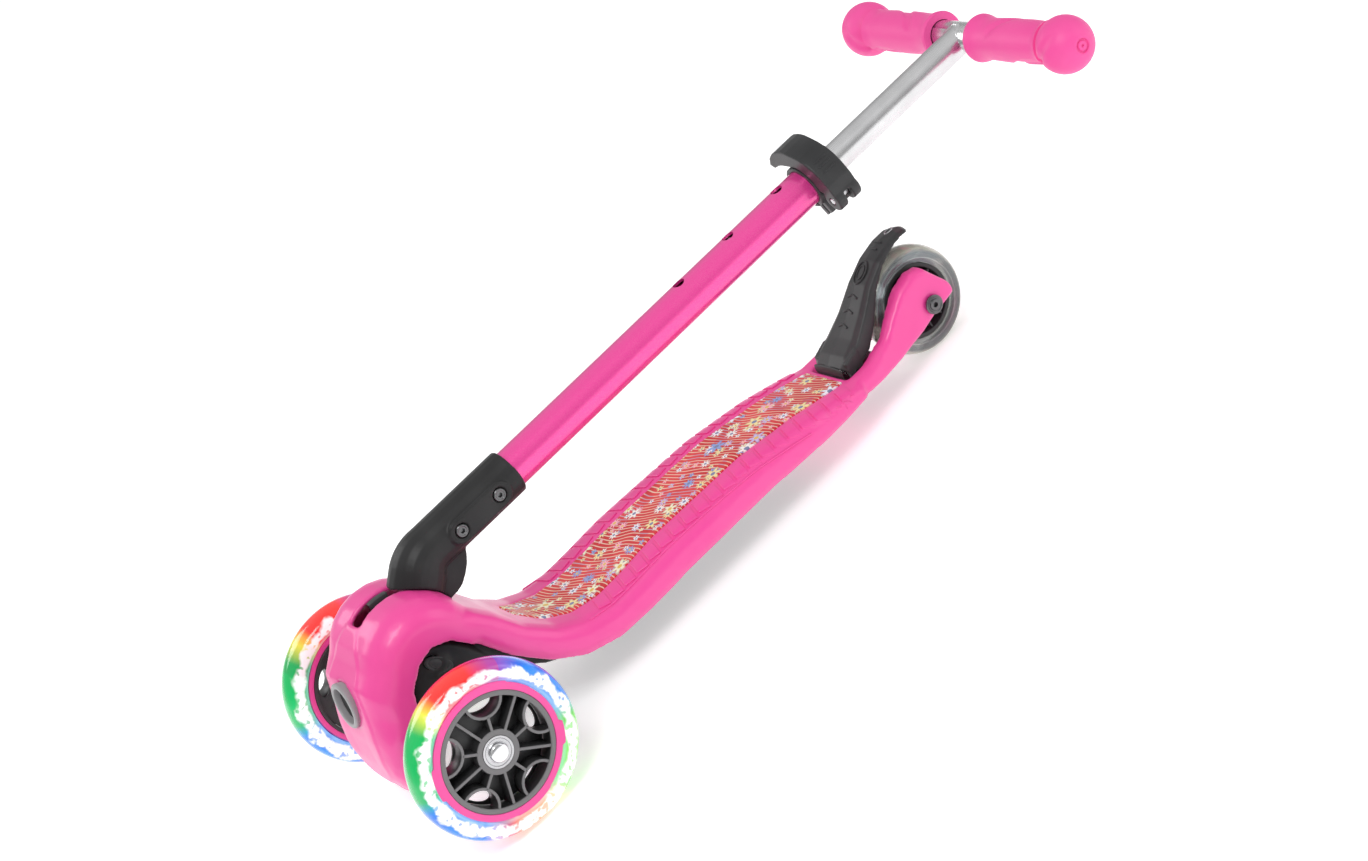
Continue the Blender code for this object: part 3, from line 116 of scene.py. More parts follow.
def pick(obj: bpy.types.Object) -> None:
    """Selects this object alone and makes it active."""
    bpy.ops.object.select_all(action="DESELECT")
    obj.select_set(True)
    bpy.context.view_layer.objects.active = obj


@contextmanager
def editing(obj: bpy.types.Object, mode: str = "VERT") -> Iterator[None]:
    """Edit mode on one object with everything in it selected."""
    pick(obj)
    bpy.ops.object.mode_set(mode="EDIT")
    bpy.ops.mesh.select_mode(type=mode)
    bpy.ops.mesh.select_all(action="SELECT")
    yield
    bpy.ops.object.mode_set(mode="OBJECT")


def named(name: str) -> bpy.types.Object:
    """Names the active object and its mesh."""
    obj = bpy.context.object
    obj.name = obj.data.name = name
    return obj


def apply(obj: bpy.types.Object, kind: str, **settings: object) -> None:
    """Adds a modifier with these settings and applies it."""
    pick(obj)
    bpy.ops.object.modifier_add(type=kind)
    modifier = obj.modifiers[-1]
    for key, value in settings.items():
        setattr(modifier, key, value)
    bpy.ops.object.modifier_apply(modifier=modifier.name)


def bevel(obj: bpy.types.Object, width: float, segments: int = 2, angle: float = 30) -> None:
    """Rounds the edges sharper than an angle."""
    apply(obj, "BEVEL", width=width, segments=segments, limit_method="ANGLE", angle_limit=math.radians(angle))


def settle(obj: bpy.types.Object, place: Matrix | None = None) -> bpy.types.Object:
    """Moves an object by a matrix and bakes its place into its mesh."""
    if place is not None:
        obj.matrix_world = place @ obj.matrix_world
    pick(obj)
    bpy.ops.object.transform_apply(location=True, rotation=True, scale=True)
    return obj


def smooth(obj: bpy.types.Object, angle: float = 32) -> bpy.types.Object:
    """Shades smooth below an angle."""
    pick(obj)
    bpy.ops.object.shade_smooth_by_angle(angle=math.radians(angle))
    return obj


def face_out(obj: bpy.types.Object) -> None:
    """Merges doubled points and turns the faces outwards."""
    with editing(obj):
        bpy.ops.mesh.remove_doubles(threshold=1e-6)
        bpy.ops.mesh.normals_make_consistent(inside=False)


def placing(centre: Point, axis: Point) -> Matrix:
    """The matrix that lays Z along an axis through a centre."""
    turn = Vector(axis).to_track_quat("Z", "X").to_matrix().to_4x4()
    return Matrix.Translation(Vector(centre)) @ turn


def thread(name: str, points: Sequence[Point]) -> bpy.types.Object:
    """A chain of edges through these points, extruded from one vertex."""
    bpy.ops.object.select_all(action="DESELECT")
    bpy.ops.mesh.primitive_plane_add(size=0.002)
    obj = named(name)
    with editing(obj):
        bpy.ops.mesh.merge(type="CENTER")
        bpy.ops.transform.translate(value=Vector(points[0]))
        for near, far in zip(points, points[1:]):
            bpy.ops.mesh.extrude_region_move(TRANSFORM_OT_translate={"value": Vector(far) - Vector(near)})
    return obj


def ribbon(name: str, points: Sequence[Vector], width: float, thick: float) -> bpy.types.Object:
    """A strip along these points, which are its right edge, as wide as it is given across Y."""
    obj = thread(name, points)
    with editing(obj):
        bpy.ops.mesh.extrude_region_move(TRANSFORM_OT_translate={"value": (0, width, 0)})
    apply(obj, "SOLIDIFY", thickness=thick, offset=0)
    return obj


def oval_ring(name: str, radius: float, thick: float, stretch: tuple[float, float],
              segments: int = 64) -> bpy.types.Object:
    """A round-sectioned ring in the XY plane, stretched along X and Y."""
    bpy.ops.object.select_all(action="DESELECT")
    bpy.ops.mesh.primitive_torus_add(major_radius=radius, minor_radius=thick, major_segments=segments,
                                     minor_segments=10)
    ring = named(name)
    ring.scale = (*stretch, 1)
    return ring


def turned(name: str, outline: Outline, centre: Point, axis: Point = (0, 1, 0), steps: int = 96,
           round_edge: float = 0.0004) -> bpy.types.Object:
    """A closed (radius, height) outline spun round an axis.

    Args:
        name: the piece's name.
        outline: corners of the half section, without repeating the first.
        centre: where height 0 lies on the axis.
        axis: the direction of height.
        steps: facets round the axis.
        round_edge: bevel on the outline's corners, or 0.

    Returns:
        The piece, in place.
    """
    obj = thread(name, [(radius, 0, height) for radius, height in [*outline, outline[0]]])
    with editing(obj):
        bpy.ops.mesh.spin(steps=steps, angle=TURN, center=(0, 0, 0), axis=(0, 0, 1))
    face_out(obj)
    if round_edge:
        bevel(obj, round_edge, 3, 20)
    return smooth(settle(obj, placing(centre, axis)))


def wall(name: str, points: Sequence[tuple[float, float]], thickness: float, low: float, high: float,
         ) -> bpy.types.Object:
    """A thin wall that stands on a path in the XY plane, from height low to height high."""
    obj = thread(name, [(x, y, low) for x, y in points])
    with editing(obj):
        bpy.ops.mesh.extrude_region_move(TRANSFORM_OT_translate={"value": (0, 0, high - low)})
    apply(obj, "SOLIDIFY", thickness=thickness, offset=0, use_even_offset=True)
    bevel(obj, thickness * 0.22, 2, 50)
    return obj


def block(name: str, size: Point, round_edge: float, cuts: int = 0) -> bpy.types.Object:
    """A box of this size about the origin with rounded edges and, where asked, cut faces."""
    bpy.ops.object.select_all(action="DESELECT")
    bpy.ops.mesh.primitive_cube_add(size=1)
    obj = named(name)
    obj.scale = size
    settle(obj)
    if cuts:
        with editing(obj):
            bpy.ops.mesh.subdivide(number_cuts=cuts)
    bevel(obj, round_edge, 3)
    return obj


def drum(name: str, radius: float, low: float, high: float, sides: int = 96) -> bpy.types.Object:
    """A cylinder about Z between two heights."""
    bpy.ops.object.select_all(action="DESELECT")
    bpy.ops.mesh.primitive_cylinder_add(vertices=sides, radius=radius, depth=high - low,
                                        location=(0, 0, (low + high) / 2))
    return settle(named(name))


def combine(obj: bpy.types.Object, other: bpy.types.Object, operation: str) -> None:
    """Applies a Boolean with another object, and removes that object."""
    apply(obj, "BOOLEAN", operation=operation, solver="EXACT", object=other)
    bpy.data.objects.remove(other)


def socketed(bolt: bpy.types.Object, face: Point, radius: float, depth: float) -> bpy.types.Object:
    """Cuts a hexagon socket into the face of a bolt that looks towards +Y."""
    key = drum("hex_key", radius, -depth, 2 * MM, 6)
    combine(bolt, settle(key, placing(face, (0, 1, 0))), "DIFFERENCE")
    return bolt


def copied(obj: bpy.types.Object, name: str, move: Matrix) -> bpy.types.Object:
    """A copy with its own mesh, moved by a matrix. A mirrored copy has its faces turned back out."""
    twin = bpy.data.objects.new(name, obj.data.copy())
    bpy.context.scene.collection.objects.link(twin)
    twin.data.transform(move)
    if move.determinant() < 0:
        twin.data.flip_normals()
    return twin


def joined(name: str, pieces: Sequence[bpy.types.Object]) -> bpy.types.Object:
    """One object made of these pieces."""
    pick(pieces[0])
    for piece in pieces:
        piece.select_set(True)
    if len(pieces) > 1:
        bpy.ops.object.join()
    return named(name)


def mirror_y(obj: bpy.types.Object, name: str) -> bpy.types.Object:
    """The same piece for the other side."""
    return copied(obj, name, Matrix.Diagonal((1, -1, 1, 1)))


def from_cad(name: str, node: str) -> bpy.types.Object:
    """A new piece that starts from a CAD node's merged mesh."""
    obj = bpy.data.objects.new(name, frame["nodes"][node].data.copy())
    bpy.context.scene.collection.objects.link(obj)
    obj.data.materials.clear()
    with editing(obj):
        bpy.ops.mesh.customdata_custom_splitnormals_clear()
        bpy.ops.mesh.remove_doubles(threshold=1e-5)
    return obj


def machined(name: str, node: str, edge: float = 0.0003) -> bpy.types.Object:
    """A CAD shape with its flat faces merged and its edges broken, as turned or cut metal has."""
    obj = from_cad(name, node)
    with editing(obj):
        bpy.ops.mesh.dissolve_limited(angle_limit=math.radians(1))
    bevel(obj, edge, 2, 35)
    return smooth(obj, 40)


def moulded(name: str, node: str, voxel: float, rounds: int) -> bpy.types.Object:
    """A CAD shape with the soft edges and blends of a moulding.

    Args:
        name: the piece's name.
        node: the CAD node that it starts from.
        voxel: the size of the new mesh's faces.
        rounds: how often the surface is smoothed.

    Returns:
        The piece.
    """
    obj = from_cad(name, node)
    apply(obj, "REMESH", mode="VOXEL", voxel_size=voxel)
    apply(obj, "SMOOTH", factor=0.5, iterations=rounds)
    pick(obj)
    bpy.ops.object.shade_smooth()
    return obj


def reshape(obj: bpy.types.Object, rule: Callable[[np.ndarray, np.ndarray], np.ndarray]) -> None:
    """Moves each point of a mesh along its normal by rule(points, normals)."""
    mesh = obj.data
    points = np.zeros(len(mesh.vertices) * 3)
    normals = np.zeros(len(mesh.vertices) * 3)
    mesh.vertices.foreach_get("co", points)
    mesh.vertices.foreach_get("normal", normals)
    points, normals = points.reshape(-1, 3), normals.reshape(-1, 3)
    points += normals * rule(points, normals)[:, None]
    mesh.vertices.foreach_set("co", points.ravel())
    mesh.update()


def ease(value: np.ndarray, low: float, high: float) -> np.ndarray:
    """0 below low, 1 above high and a smooth step between."""
    share = np.clip((value - low) / (high - low), 0, 1)
    return share * share * (3 - 2 * share)


def touch(obj: bpy.types.Object, start: Point, heading: Point) -> tuple[Vector, Vector]:
    """Where a line from start along heading first meets a piece, and the surface's normal there."""
    bpy.context.view_layer.update()
    hit, place, normal, _ = obj.ray_cast(Vector(start), Vector(heading).normalized())
    if not hit:
        raise ValueError(f"nothing of {obj.name} lies on the line from {tuple(start)}")
    return place, normal


def lying(place: Vector, normal: Vector, along: Point) -> Matrix:
    """The matrix that lays X as near as it can to a direction on a surface, and Z along its normal."""
    z = normal.normalized()
    y = z.cross(Vector(along)).normalized()
    x = y.cross(z)
    return Matrix.Translation(place) @ Matrix((x, y, z)).transposed().to_4x4()


# ---------------------------------------------------------------- shader sums

class Value:
    """A node socket that does sums as Python expressions."""

    def __init__(self, nodes: "Nodes", socket: bpy.types.NodeSocket) -> None:
        """Wraps a socket of a tree."""
        self.nodes, self.socket = nodes, socket

    def sum(self, operation: str, *others: object) -> "Value":
        """A Math node of this value and others."""
        return self.nodes.add("ShaderNodeMath", {"operation": operation}, self, *others)

    def __add__(self, other: object) -> "Value":
        """self + other"""
        return self.sum("ADD", other)

    __radd__ = __add__

    def __sub__(self, other: object) -> "Value":
        """self - other"""
        return self.sum("SUBTRACT", other)

    def __rsub__(self, other: float) -> "Value":
        """other - self"""
        return self.nodes.add("ShaderNodeMath", {"operation": "SUBTRACT"}, other, self)

    def __mul__(self, other: object) -> "Value":
        """self * other"""
        return self.sum("MULTIPLY", other)

    __rmul__ = __mul__

    def __truediv__(self, other: object) -> "Value":
        """self / other"""
        return self.sum("DIVIDE", other)

    def __lt__(self, other: object) -> "Value":
        """1 where self is less than other"""
        return self.sum("LESS_THAN", other)

    def __gt__(self, other: object) -> "Value":
        """1 where self is more than other"""
        return self.sum("GREATER_THAN", other)

    def between(self, low: float, high: float) -> "Value":
        """A smooth step from 0 at low to 1 at high, where low may be the larger."""
        settings = {"interpolation_type": "SMOOTHSTEP"}
        return self.nodes.add("ShaderNodeMapRange", settings, self, low, high, 0.0, 1.0)


class Nodes:
    """One material's node tree."""

    def __init__(self, name: str) -> None:
        """Starts a material with a Principled shader."""
        self.material = bpy.data.materials.new(name)
        self.material.use_nodes = True
        self.tree = self.material.node_tree
        self.shader = self.tree.nodes["Principled BSDF"]

    def add(self, kind: str, settings: dict[str, object], *values: object, out: int | str = 0,
            **inputs: object) -> Value:
        """Adds a node.

        Args:
            kind: the node's type.
            settings: its properties, set first; stops is a list of (place, colour) for a ramp.
            values: values or links of its sockets in order; None leaves one as it is.
            out: the output that the result stands for.
            inputs: values or links of its sockets by name, with _ for a space.

        Returns:
            The output as a Value.
        """
        node = self.tree.nodes.new(kind)
        for key, setting in settings.items():
            if key == "stops":
                self._ramp(node.color_ramp, setting)
            else:
                setattr(node, key, setting)
        for socket, value in zip((s for s in node.inputs if s.enabled), values):
            self._feed(socket, value)
        for key, value in inputs.items():
            self._feed(node.inputs[key.replace("_", " ")], value)
        return Value(self, node.outputs[out])

    @staticmethod
    def _ramp(ramp: bpy.types.ColorRamp, stops: Sequence[tuple[float, Colour]]) -> None:
        """Sets a ramp's stops."""
        while len(ramp.elements) < len(stops):
            ramp.elements.new(0.5)
        for element, (place, colour) in zip(ramp.elements, stops):
            element.position = place
            element.color = (*colour, 1)

    def _feed(self, socket: bpy.types.NodeSocket, value: object) -> None:
        """Links or sets one socket."""
        if isinstance(value, Value):
            self.tree.links.new(value.socket, socket)
        elif value is not None:
            if socket.type == "RGBA" and len(value) == 3:
                value = (*value, 1)
            socket.default_value = value

    def set(self, **inputs: object) -> None:
        """Feeds the shader's sockets by name, with _ for a space."""
        for key, value in inputs.items():
            self._feed(self.shader.inputs[key.replace("_", " ")], value)

    def place(self) -> Value:
        """The object's own coordinates."""
        return self.add("ShaderNodeTexCoord", {}, out="Object")

    def mapped(self, vector: Value, shift: Point = (0, 0, 0), turn: Point = (0, 0, 0),
               scale: Point = (1, 1, 1)) -> Value:
        """Coordinates moved, turned and scaled, in that order."""
        moved = self.add("ShaderNodeVectorMath", {"operation": "ADD"}, vector, tuple(shift))
        return self.add("ShaderNodeMapping", {"vector_type": "POINT"}, moved, (0, 0, 0),
                        tuple(turn), tuple(scale))

    def parts(self, vector: Value) -> tuple[Value, Value, Value]:
        """The three numbers of a vector."""
        split = self.add("ShaderNodeSeparateXYZ", {}, vector)
        outputs = split.socket.node.outputs
        return Value(self, outputs[0]), Value(self, outputs[1]), Value(self, outputs[2])

    def noise(self, vector: Value, size: float, detail: float = 2.0) -> Value:
        """Noise whose features are about this many metres across."""
        return self.add("ShaderNodeTexNoise", {}, Vector=vector, Scale=1 / size, Detail=detail, out=0)

    def mix(self, factor: object, first: object, second: object) -> Value:
        """A mix of two colours."""
        node = self.tree.nodes.new("ShaderNodeMix")
        node.data_type = "RGBA"
        self._feed(node.inputs[0], factor)
        self._feed(node.inputs[6], first)
        self._feed(node.inputs[7], second)
        return Value(self, node.outputs[2])

    def ramp(self, factor: Value, stops: Sequence[tuple[float, Colour]],
             interpolation: str = "LINEAR") -> Value:
        """A colour ramp."""
        made = self.add("ShaderNodeValToRGB", {"stops": stops}, factor)
        made.socket.node.color_ramp.interpolation = interpolation
        return made

    def bump(self, height: Value, depth: float) -> None:
        """Feeds a bump of this depth in metres to the shader's normal."""
        self.set(Normal=self.add("ShaderNodeBump", {}, Height=height, Strength=1.0, Distance=depth))


def tint(colour: Colour, share: float) -> Colour:
    """A colour made lighter or, with a negative share, darker."""
    aim = 1.0 if share > 0 else 0.0
    return tuple(c + (aim - c) * abs(share) for c in colour)


# ---------------------------------------------------------------- finishes

@dataclass(frozen=True)
class Plastic:
    """Moulded plastic with a fine spark-eroded grain and faint flow marks."""

    name: str
    colour: Colour
    roughness: float = 0.4
    grain: float = 0.35 * MM
    depth: float = 0.02 * MM
    coat: float = 0.0
    flow: float = 0.08
    shine: float = 0.5

    def build(self) -> Nodes:
        """The material's nodes."""
        nodes = Nodes(self.name)
        place = nodes.place()
        flow = nodes.noise(place, 45 * MM, 3)
        grain = nodes.noise(place, self.grain, 1)
        colour = nodes.mix(flow, tint(self.colour, -self.flow), tint(self.colour, self.flow * 0.6))
        handling = nodes.noise(place, 9 * MM, 4)
        rough = self.roughness + 0.10 * (handling - 0.5) + 0.06 * (grain - 0.5)
        nodes.set(Base_Color=colour, Roughness=rough)
        nodes.set(Coat_Weight=self.coat, Coat_Roughness=0.12, Specular_IOR_Level=self.shine)
        nodes.bump(grain, self.depth)
        return nodes


@dataclass(frozen=True)
class Paint:
    """Glossy coat on a metal tube, with fine flake, orange peel and painted shade: it darkens to its edge colour
    towards the tube's grazing edges.
    """

    name: str
    colour: Colour
    # edge is the colour of the painted shade along the tube's grazing edges.
    edge: Colour
    roughness: float = 0.24

    def build(self) -> Nodes:
        """The material's nodes."""
        nodes = Nodes(self.name)
        place = nodes.place()
        flake = nodes.noise(place, 0.25 * MM, 1).between(0.45, 0.75)
        peel = nodes.noise(place, 1.6 * MM, 2)
        painted_edge_shade = nodes.add("ShaderNodeLayerWeight", {}, 0.35, out="Facing")
        # Painted shade: the coat turns to the darker edge colour where the tube turns away from view.
        body = nodes.mix(painted_edge_shade.between(0.35, 0.95), self.colour, self.edge)
        nodes.set(Base_Color=nodes.mix(0.25 * flake, body, tint(self.colour, 0.35)), Metallic=0.35)
        nodes.set(Roughness=self.roughness + 0.08 * (peel - 0.5), Coat_Weight=0.8, Coat_Roughness=0.06)
        nodes.bump(peel, 0.02 * MM)
        return nodes


@dataclass(frozen=True)
class Metal:
    """Bare metal with brush marks along one direction."""

    name: str
    colour: Colour
    roughness: float = 0.28
    stretch: Point = (1, 1, 1)
    grain: float = 0.4 * MM

    def build(self) -> Nodes:
        """The material's nodes."""
        nodes = Nodes(self.name)
        place = nodes.place()
        marks = nodes.noise(nodes.mapped(place, scale=self.stretch), self.grain, 3)
        smear = nodes.noise(place, 14 * MM, 2)
        colour = nodes.mix(smear, tint(self.colour, -0.18), tint(self.colour, 0.12))
        nodes.set(Base_Color=colour, Metallic=1.0)
        nodes.set(Roughness=self.roughness + 0.14 * (marks - 0.5) + 0.06 * (smear - 0.5))
        nodes.bump(marks, 0.012 * MM)
        return nodes


@dataclass(frozen=True)
class PaintedLightSpokes:
    """Black wheel plastic with painted light and shade: a lighter grey on its outer faces where light catches
    them, and near black deeper in the rim.
    """

    name: str
    # face is painted light on the outer faces; core is near black, the painted shade deeper in the rim.
    face: Colour
    core: Colour
    outer: float

    def build(self) -> Nodes:
        """The material's nodes."""
        nodes = Nodes(self.name)
        place = nodes.place()
        _, across, _ = nodes.parts(place)
        reach = across.sum("ABSOLUTE")
        grain = nodes.noise(place, 0.3 * MM, 1)
        # Painted light and shade: grey on the outer faces, near black further in from them.
        face = reach.between(self.outer - 1.9 * MM, self.outer - 1.1 * MM)
        colour = nodes.mix(face, self.core, self.face)
        nodes.set(Base_Color=nodes.mix(0.25 * grain, colour, tint(self.core, 0.15)))
        nodes.set(Roughness=0.36 + 0.1 * (grain - 0.5))
        nodes.bump(grain, 0.015 * MM)
        return nodes


@dataclass(frozen=True)
class LitUrethane:
    """Clear tyre with the glow of coloured lamps inside it: a white band between coloured edges."""

    name: str
    centre: Point
    start: float = math.radians(125.9)
    band: tuple[float, float] = (48.6 * MM, 56.6 * MM)
    crown: float = 60.5 * MM
    glow: float = 0.34

    RED = (0.85, 0.02, 0.015)
    BLUE = (0.0, 0.16, 0.68)
    GREEN = (0.0, 0.42, 0.09)
    PALE = (0.95, 0.42, 0.22)

    def build(self) -> Nodes:
        """The material's nodes."""
        nodes = Nodes(self.name)
        place = nodes.mapped(nodes.place(), shift=tuple(-c for c in self.centre))
        x, _, z = nodes.parts(place)
        radius = (x * x + z * z).sum("SQRT")
        angle = z.sum("ARCTAN2", x)
        clock = ((angle - self.start) / TURN).sum("FRACT")
        lamps = nodes.ramp(clock, [
            (0.00, (0.25, 0.05, 0.45)), (0.045, self.BLUE), (0.16, self.BLUE), (0.195, (0.1, 0.5, 0.05)),
            (0.26, (0.22, 0.66, 0.10)), (0.33, (0.2, 0.7, 0.15)), (0.375, self.PALE),
            (0.45, (0.9, 0.2, 0.08)),
            (0.49, (0.35, 0.1, 0.3)), (0.53, self.BLUE), (0.645, self.BLUE), (0.675, self.GREEN),
            (0.80, self.GREEN), (0.835, (0.75, 0.75, 0.05)), (0.865, self.RED), (0.94, self.RED),
            (0.985, (0.45, 0.04, 0.30)),
        ])
        ripple = (angle * 15).sum("SINE")
        haze = nodes.noise(place, 9 * MM, 2)
        away = (angle + math.radians(70)).sum("COSINE")
        outer = radius + ripple * (1.3 * MM) + (haze - 0.5) * (8 * MM) - away * (1.0 * MM)
        inner = radius - ripple * (0.7 * MM) + (haze - 0.5) * (6 * MM)
        white = outer.between(self.band[1] + 1.0 * MM, self.band[1] - 1.6 * MM)
        white = white * inner.between(self.band[0] - 0.8 * MM, self.band[0] + 1.4 * MM)
        spots = nodes.noise(place, 4.5 * MM, 1).between(0.66, 0.54)
        white = white * radius.between(self.crown - 0.6 * MM, self.crown - 2.4 * MM) * (0.25 + 0.75 * spots)
        inside = radius.between(self.band[0] + 1.0 * MM, self.band[0] - 1.5 * MM)
        tinted = nodes.mix(0.35 * inside, lamps, (0.5, 0.85, 0.95))
        colour = nodes.mix(white, tinted, (1.0, 1.0, 1.0))
        nodes.set(Base_Color=colour, Roughness=0.12 + 0.08 * haze, Emission_Color=colour)
        nodes.set(Emission_Strength=self.glow, Transmission_Weight=0.35, IOR=1.48, Coat_Weight=0.6,
                  Coat_Roughness=0.05)
        return nodes


@dataclass(frozen=True)
class SmokeUrethane:
    """Grey see-through tyre with a cream tread and a painted glint: a thin pale ring inside the tread."""

    name: str
    centre: Point
    tread: float

    def build(self) -> Nodes:
        """The material's nodes."""
        nodes = Nodes(self.name)
        place = nodes.mapped(nodes.place(), shift=tuple(-c for c in self.centre))
        x, _, z = nodes.parts(place)
        radius = (x * x + z * z).sum("SQRT")
        haze = nodes.noise(place, 6 * MM, 3)
        cream = (radius + (haze - 0.5) * (2 * MM)).between(self.tread - 5.0 * MM, self.tread - 1.8 * MM)
        # Painted glint: a thin pale bluish ring a little inside the tread.
        ring = (radius.between(self.tread - 9.5 * MM, self.tread - 9.0 * MM)
                * radius.between(self.tread - 8.2 * MM, self.tread - 8.7 * MM))
        clear = nodes.mix(0.6 * ring, (0.20, 0.23, 0.24), (0.70, 0.74, 0.74))
        nodes.set(Base_Color=nodes.mix(cream, clear, (0.80, 0.77, 0.62)), Roughness=0.14 + 0.1 * haze)
        nodes.set(Transmission_Weight=0.72, IOR=1.48, Coat_Weight=0.5, Coat_Roughness=0.05)
        return nodes


@dataclass(frozen=True)
class FlowerPrint:
    """Printed mat: red ground, cream waves and scattered flowers, laid out in the attribute "laid"."""

    name: str

    CREAM = (0.86, 0.78, 0.58)
    PETALS = ((0.94, 0.92, 0.86), (0.90, 0.78, 0.36), (0.88, 0.90, 0.95), (0.26, 0.38, 0.74),
              (0.94, 0.48, 0.56), (0.90, 0.88, 0.62), (0.60, 0.52, 0.80))

    def flowers(self, nodes: Nodes, place: Value, pitch: float, size: float, petals: int, seed: Point,
                under: Value) -> Value:
        """Scatters one kind of flower over a colour.

        Args:
            nodes: the material's tree.
            place: coordinates on the flat mat.
            pitch: the mean distance between flowers.
            size: the radius of the largest flower.
            petals: petals on each.
            seed: a shift that gives this kind its own layout.
            under: the colour below.

        Returns:
            The colour with the flowers on it.
        """
        moved = nodes.mapped(place, shift=seed)
        settings = {"voronoi_dimensions": "2D", "feature": "F1"}
        cells = nodes.add("ShaderNodeTexVoronoi", settings, Vector=moved, Scale=1 / pitch, Randomness=0.72,
                          out="Position")
        chance = Value(nodes, cells.socket.node.outputs["Color"])
        pick_one, scale_one, turn_one = nodes.parts(chance)
        offset = nodes.add("ShaderNodeVectorMath", {"operation": "SUBTRACT"}, moved, cells)
        x, y, _ = nodes.parts(offset)
        radius = (x * x + y * y).sum("SQRT")
        angle = y.sum("ARCTAN2", x)
        reach = size * (0.62 + 0.38 * scale_one)
        lobes = ((angle * petals + turn_one * TURN).sum("COSINE") + 1) * 0.5
        edge = reach * (0.45 + 0.55 * lobes)
        soft = 0.12 * MM
        bloom = ((edge - radius) / soft + 0.5).between(0, 1) * (scale_one > 0.22)
        line = ((edge * 0.80 - radius) / soft + 0.5).between(0, 1)
        heart = ((reach * 0.26 - radius) / soft + 0.5).between(0, 1)
        stops = [(i / len(self.PETALS), colour) for i, colour in enumerate(self.PETALS)]
        petal = nodes.ramp(pick_one, stops, "CONSTANT")
        rim = nodes.mix(0.40, petal, (0.16, 0.12, 0.20))
        core = nodes.mix(pick_one > 0.5, (0.20, 0.24, 0.40), (0.75, 0.52, 0.10))
        shown = nodes.mix(line, rim, petal)
        return nodes.mix(bloom, under, nodes.mix(heart, shown, core))

    def build(self) -> Nodes:
        """The material's nodes."""
        nodes = Nodes(self.name)
        place = nodes.add("ShaderNodeAttribute", {"attribute_name": "laid"}, out="Vector")
        drift = nodes.noise(place, 32 * MM, 1)
        along, across, _ = nodes.parts(place)
        fade = nodes.noise(place, 40 * MM, 2).between(0.40, 0.62)
        ground = nodes.mix(fade, (0.58, 0.012, 0.018), (0.72, 0.045, 0.05))
        wave = along / (3.4 * MM) + across / (12 * MM) + drift * 2.4 + (across / (9 * MM)).sum("SINE") * 0.5
        stripe = ((wave * TURN).sum("SINE")).between(0.55, 0.92)
        blue = nodes.noise(place, 26 * MM, 1).between(0.56, 0.60)
        thread_colour = nodes.mix(blue, self.CREAM, (0.50, 0.48, 0.62))
        colour = nodes.mix(0.78 * stripe, ground, thread_colour)
        colour = self.flowers(nodes, place, 10.5 * MM, 3.3 * MM, 5, (0.31, 0.17, 0), colour)
        colour = self.flowers(nodes, place, 16 * MM, 5.6 * MM, 8, (0.77, 0.53, 0), colour)
        colour = self.flowers(nodes, place, 27 * MM, 8.2 * MM, 6, (0.13, 0.91, 0), colour)
        grain = nodes.noise(nodes.place(), 0.5 * MM, 2)
        nodes.set(Base_Color=colour, Roughness=0.48 + 0.12 * (grain - 0.5), Coat_Weight=0.15,
                  Coat_Roughness=0.3)
        nodes.bump(grain, 0.05 * MM)
        return nodes


class Palette:
    """Every finish of the scooter, by the record's slot name or by a name of its own."""

    HOT_PINK = (0.88, 0.052, 0.330)

    def __init__(self) -> None:
        """Builds the materials."""
        along_tube = tuple(0.03 if abs(c) > 0.9 else 1.0 for c in TUBE_RUN)
        pink = self.HOT_PINK
        built = {
            "pink_plastic": Plastic("pink_nylon", pink, 0.36, coat=0.25, flow=0.05),
            # The tube coat's second colour is painted shade at the tube's grazing edges.
            "pink_paint": Paint("pink_tube_coat", (0.90, 0.045, 0.34), (0.62, 0.0, 0.20)),
            "pink_rubber": Plastic("pink_grip_rubber", (0.90, 0.062, 0.34), 0.48, 0.5 * MM, 0.05 * MM,
                                   flow=0.06),
            "panel_print": FlowerPrint("flower_mat"),
            "black_plastic": Plastic("black_satin_nylon", (0.004, 0.004, 0.0045), 0.34, 0.5 * MM, 0.04 * MM,
                                     shine=0.16),
            "dark_plastic": Plastic("charcoal_nylon", (0.016, 0.0165, 0.018), 0.38, 0.5 * MM, 0.05 * MM,
                                    shine=0.3),
            "grey_plastic": Plastic("grey_nylon", (0.30, 0.29, 0.30), 0.38),
            # The spokes' grey outer faces and near-black depths are painted light and shade.
            "spokes": PaintedLightSpokes("spoke_nylon", (0.16, 0.155, 0.16), (0.012, 0.012, 0.013),
                             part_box("front_rim_left")[1].y),
            "clear_urethane": LitUrethane("lit_urethane", tuple(FRONT_AXLE)),
            "smoke_urethane": SmokeUrethane("smoke_urethane", tuple(REAR_AXLE), REAR_AXLE.z),
            "brushed_aluminium": Metal("brushed_aluminium", (0.74, 0.74, 0.75), 0.26, along_tube),
            "steel": Metal("zinc_steel", (0.56, 0.56, 0.58), 0.24),
            "black_steel": Metal("blacked_steel", (0.10, 0.10, 0.105), 0.30),
            "chrome": Metal("polished_chrome", (0.86, 0.86, 0.88), 0.08),
        }
        self.materials = {key: finish.build().material for key, finish in built.items()}

    def __getitem__(self, key: str) -> bpy.types.Material:
        """The material of this finish."""
        return self.materials[key]


# ---------------------------------------------------------------- sub-assemblies

@dataclass
class Assembly:
    """A group of pieces dressed from one palette."""

    palette: Palette

    def give(self, piece: bpy.types.Object, body: str, finish: str, *nodes: str,
             slot: str = "") -> bpy.types.Object:
        """Dresses a piece and hands it to the body that it rides on.

        Args:
            piece: the finished piece, at the origin.
            body: the CAD body that it moves with.
            finish: its finish in the palette.
            nodes: the CAD nodes that it stands for.
            slot: the record's slot, where it isn't the finish's own name; not used.

        Returns:
            The piece.
        """
        piece.data.materials.clear()
        piece.data.materials.append(self.palette[finish])
        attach(piece, body)
        if nodes:
            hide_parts(*nodes)
        LOG.info("%s rides on %s and has %d faces", piece.name, body, len(piece.data.polygons))
        return piece


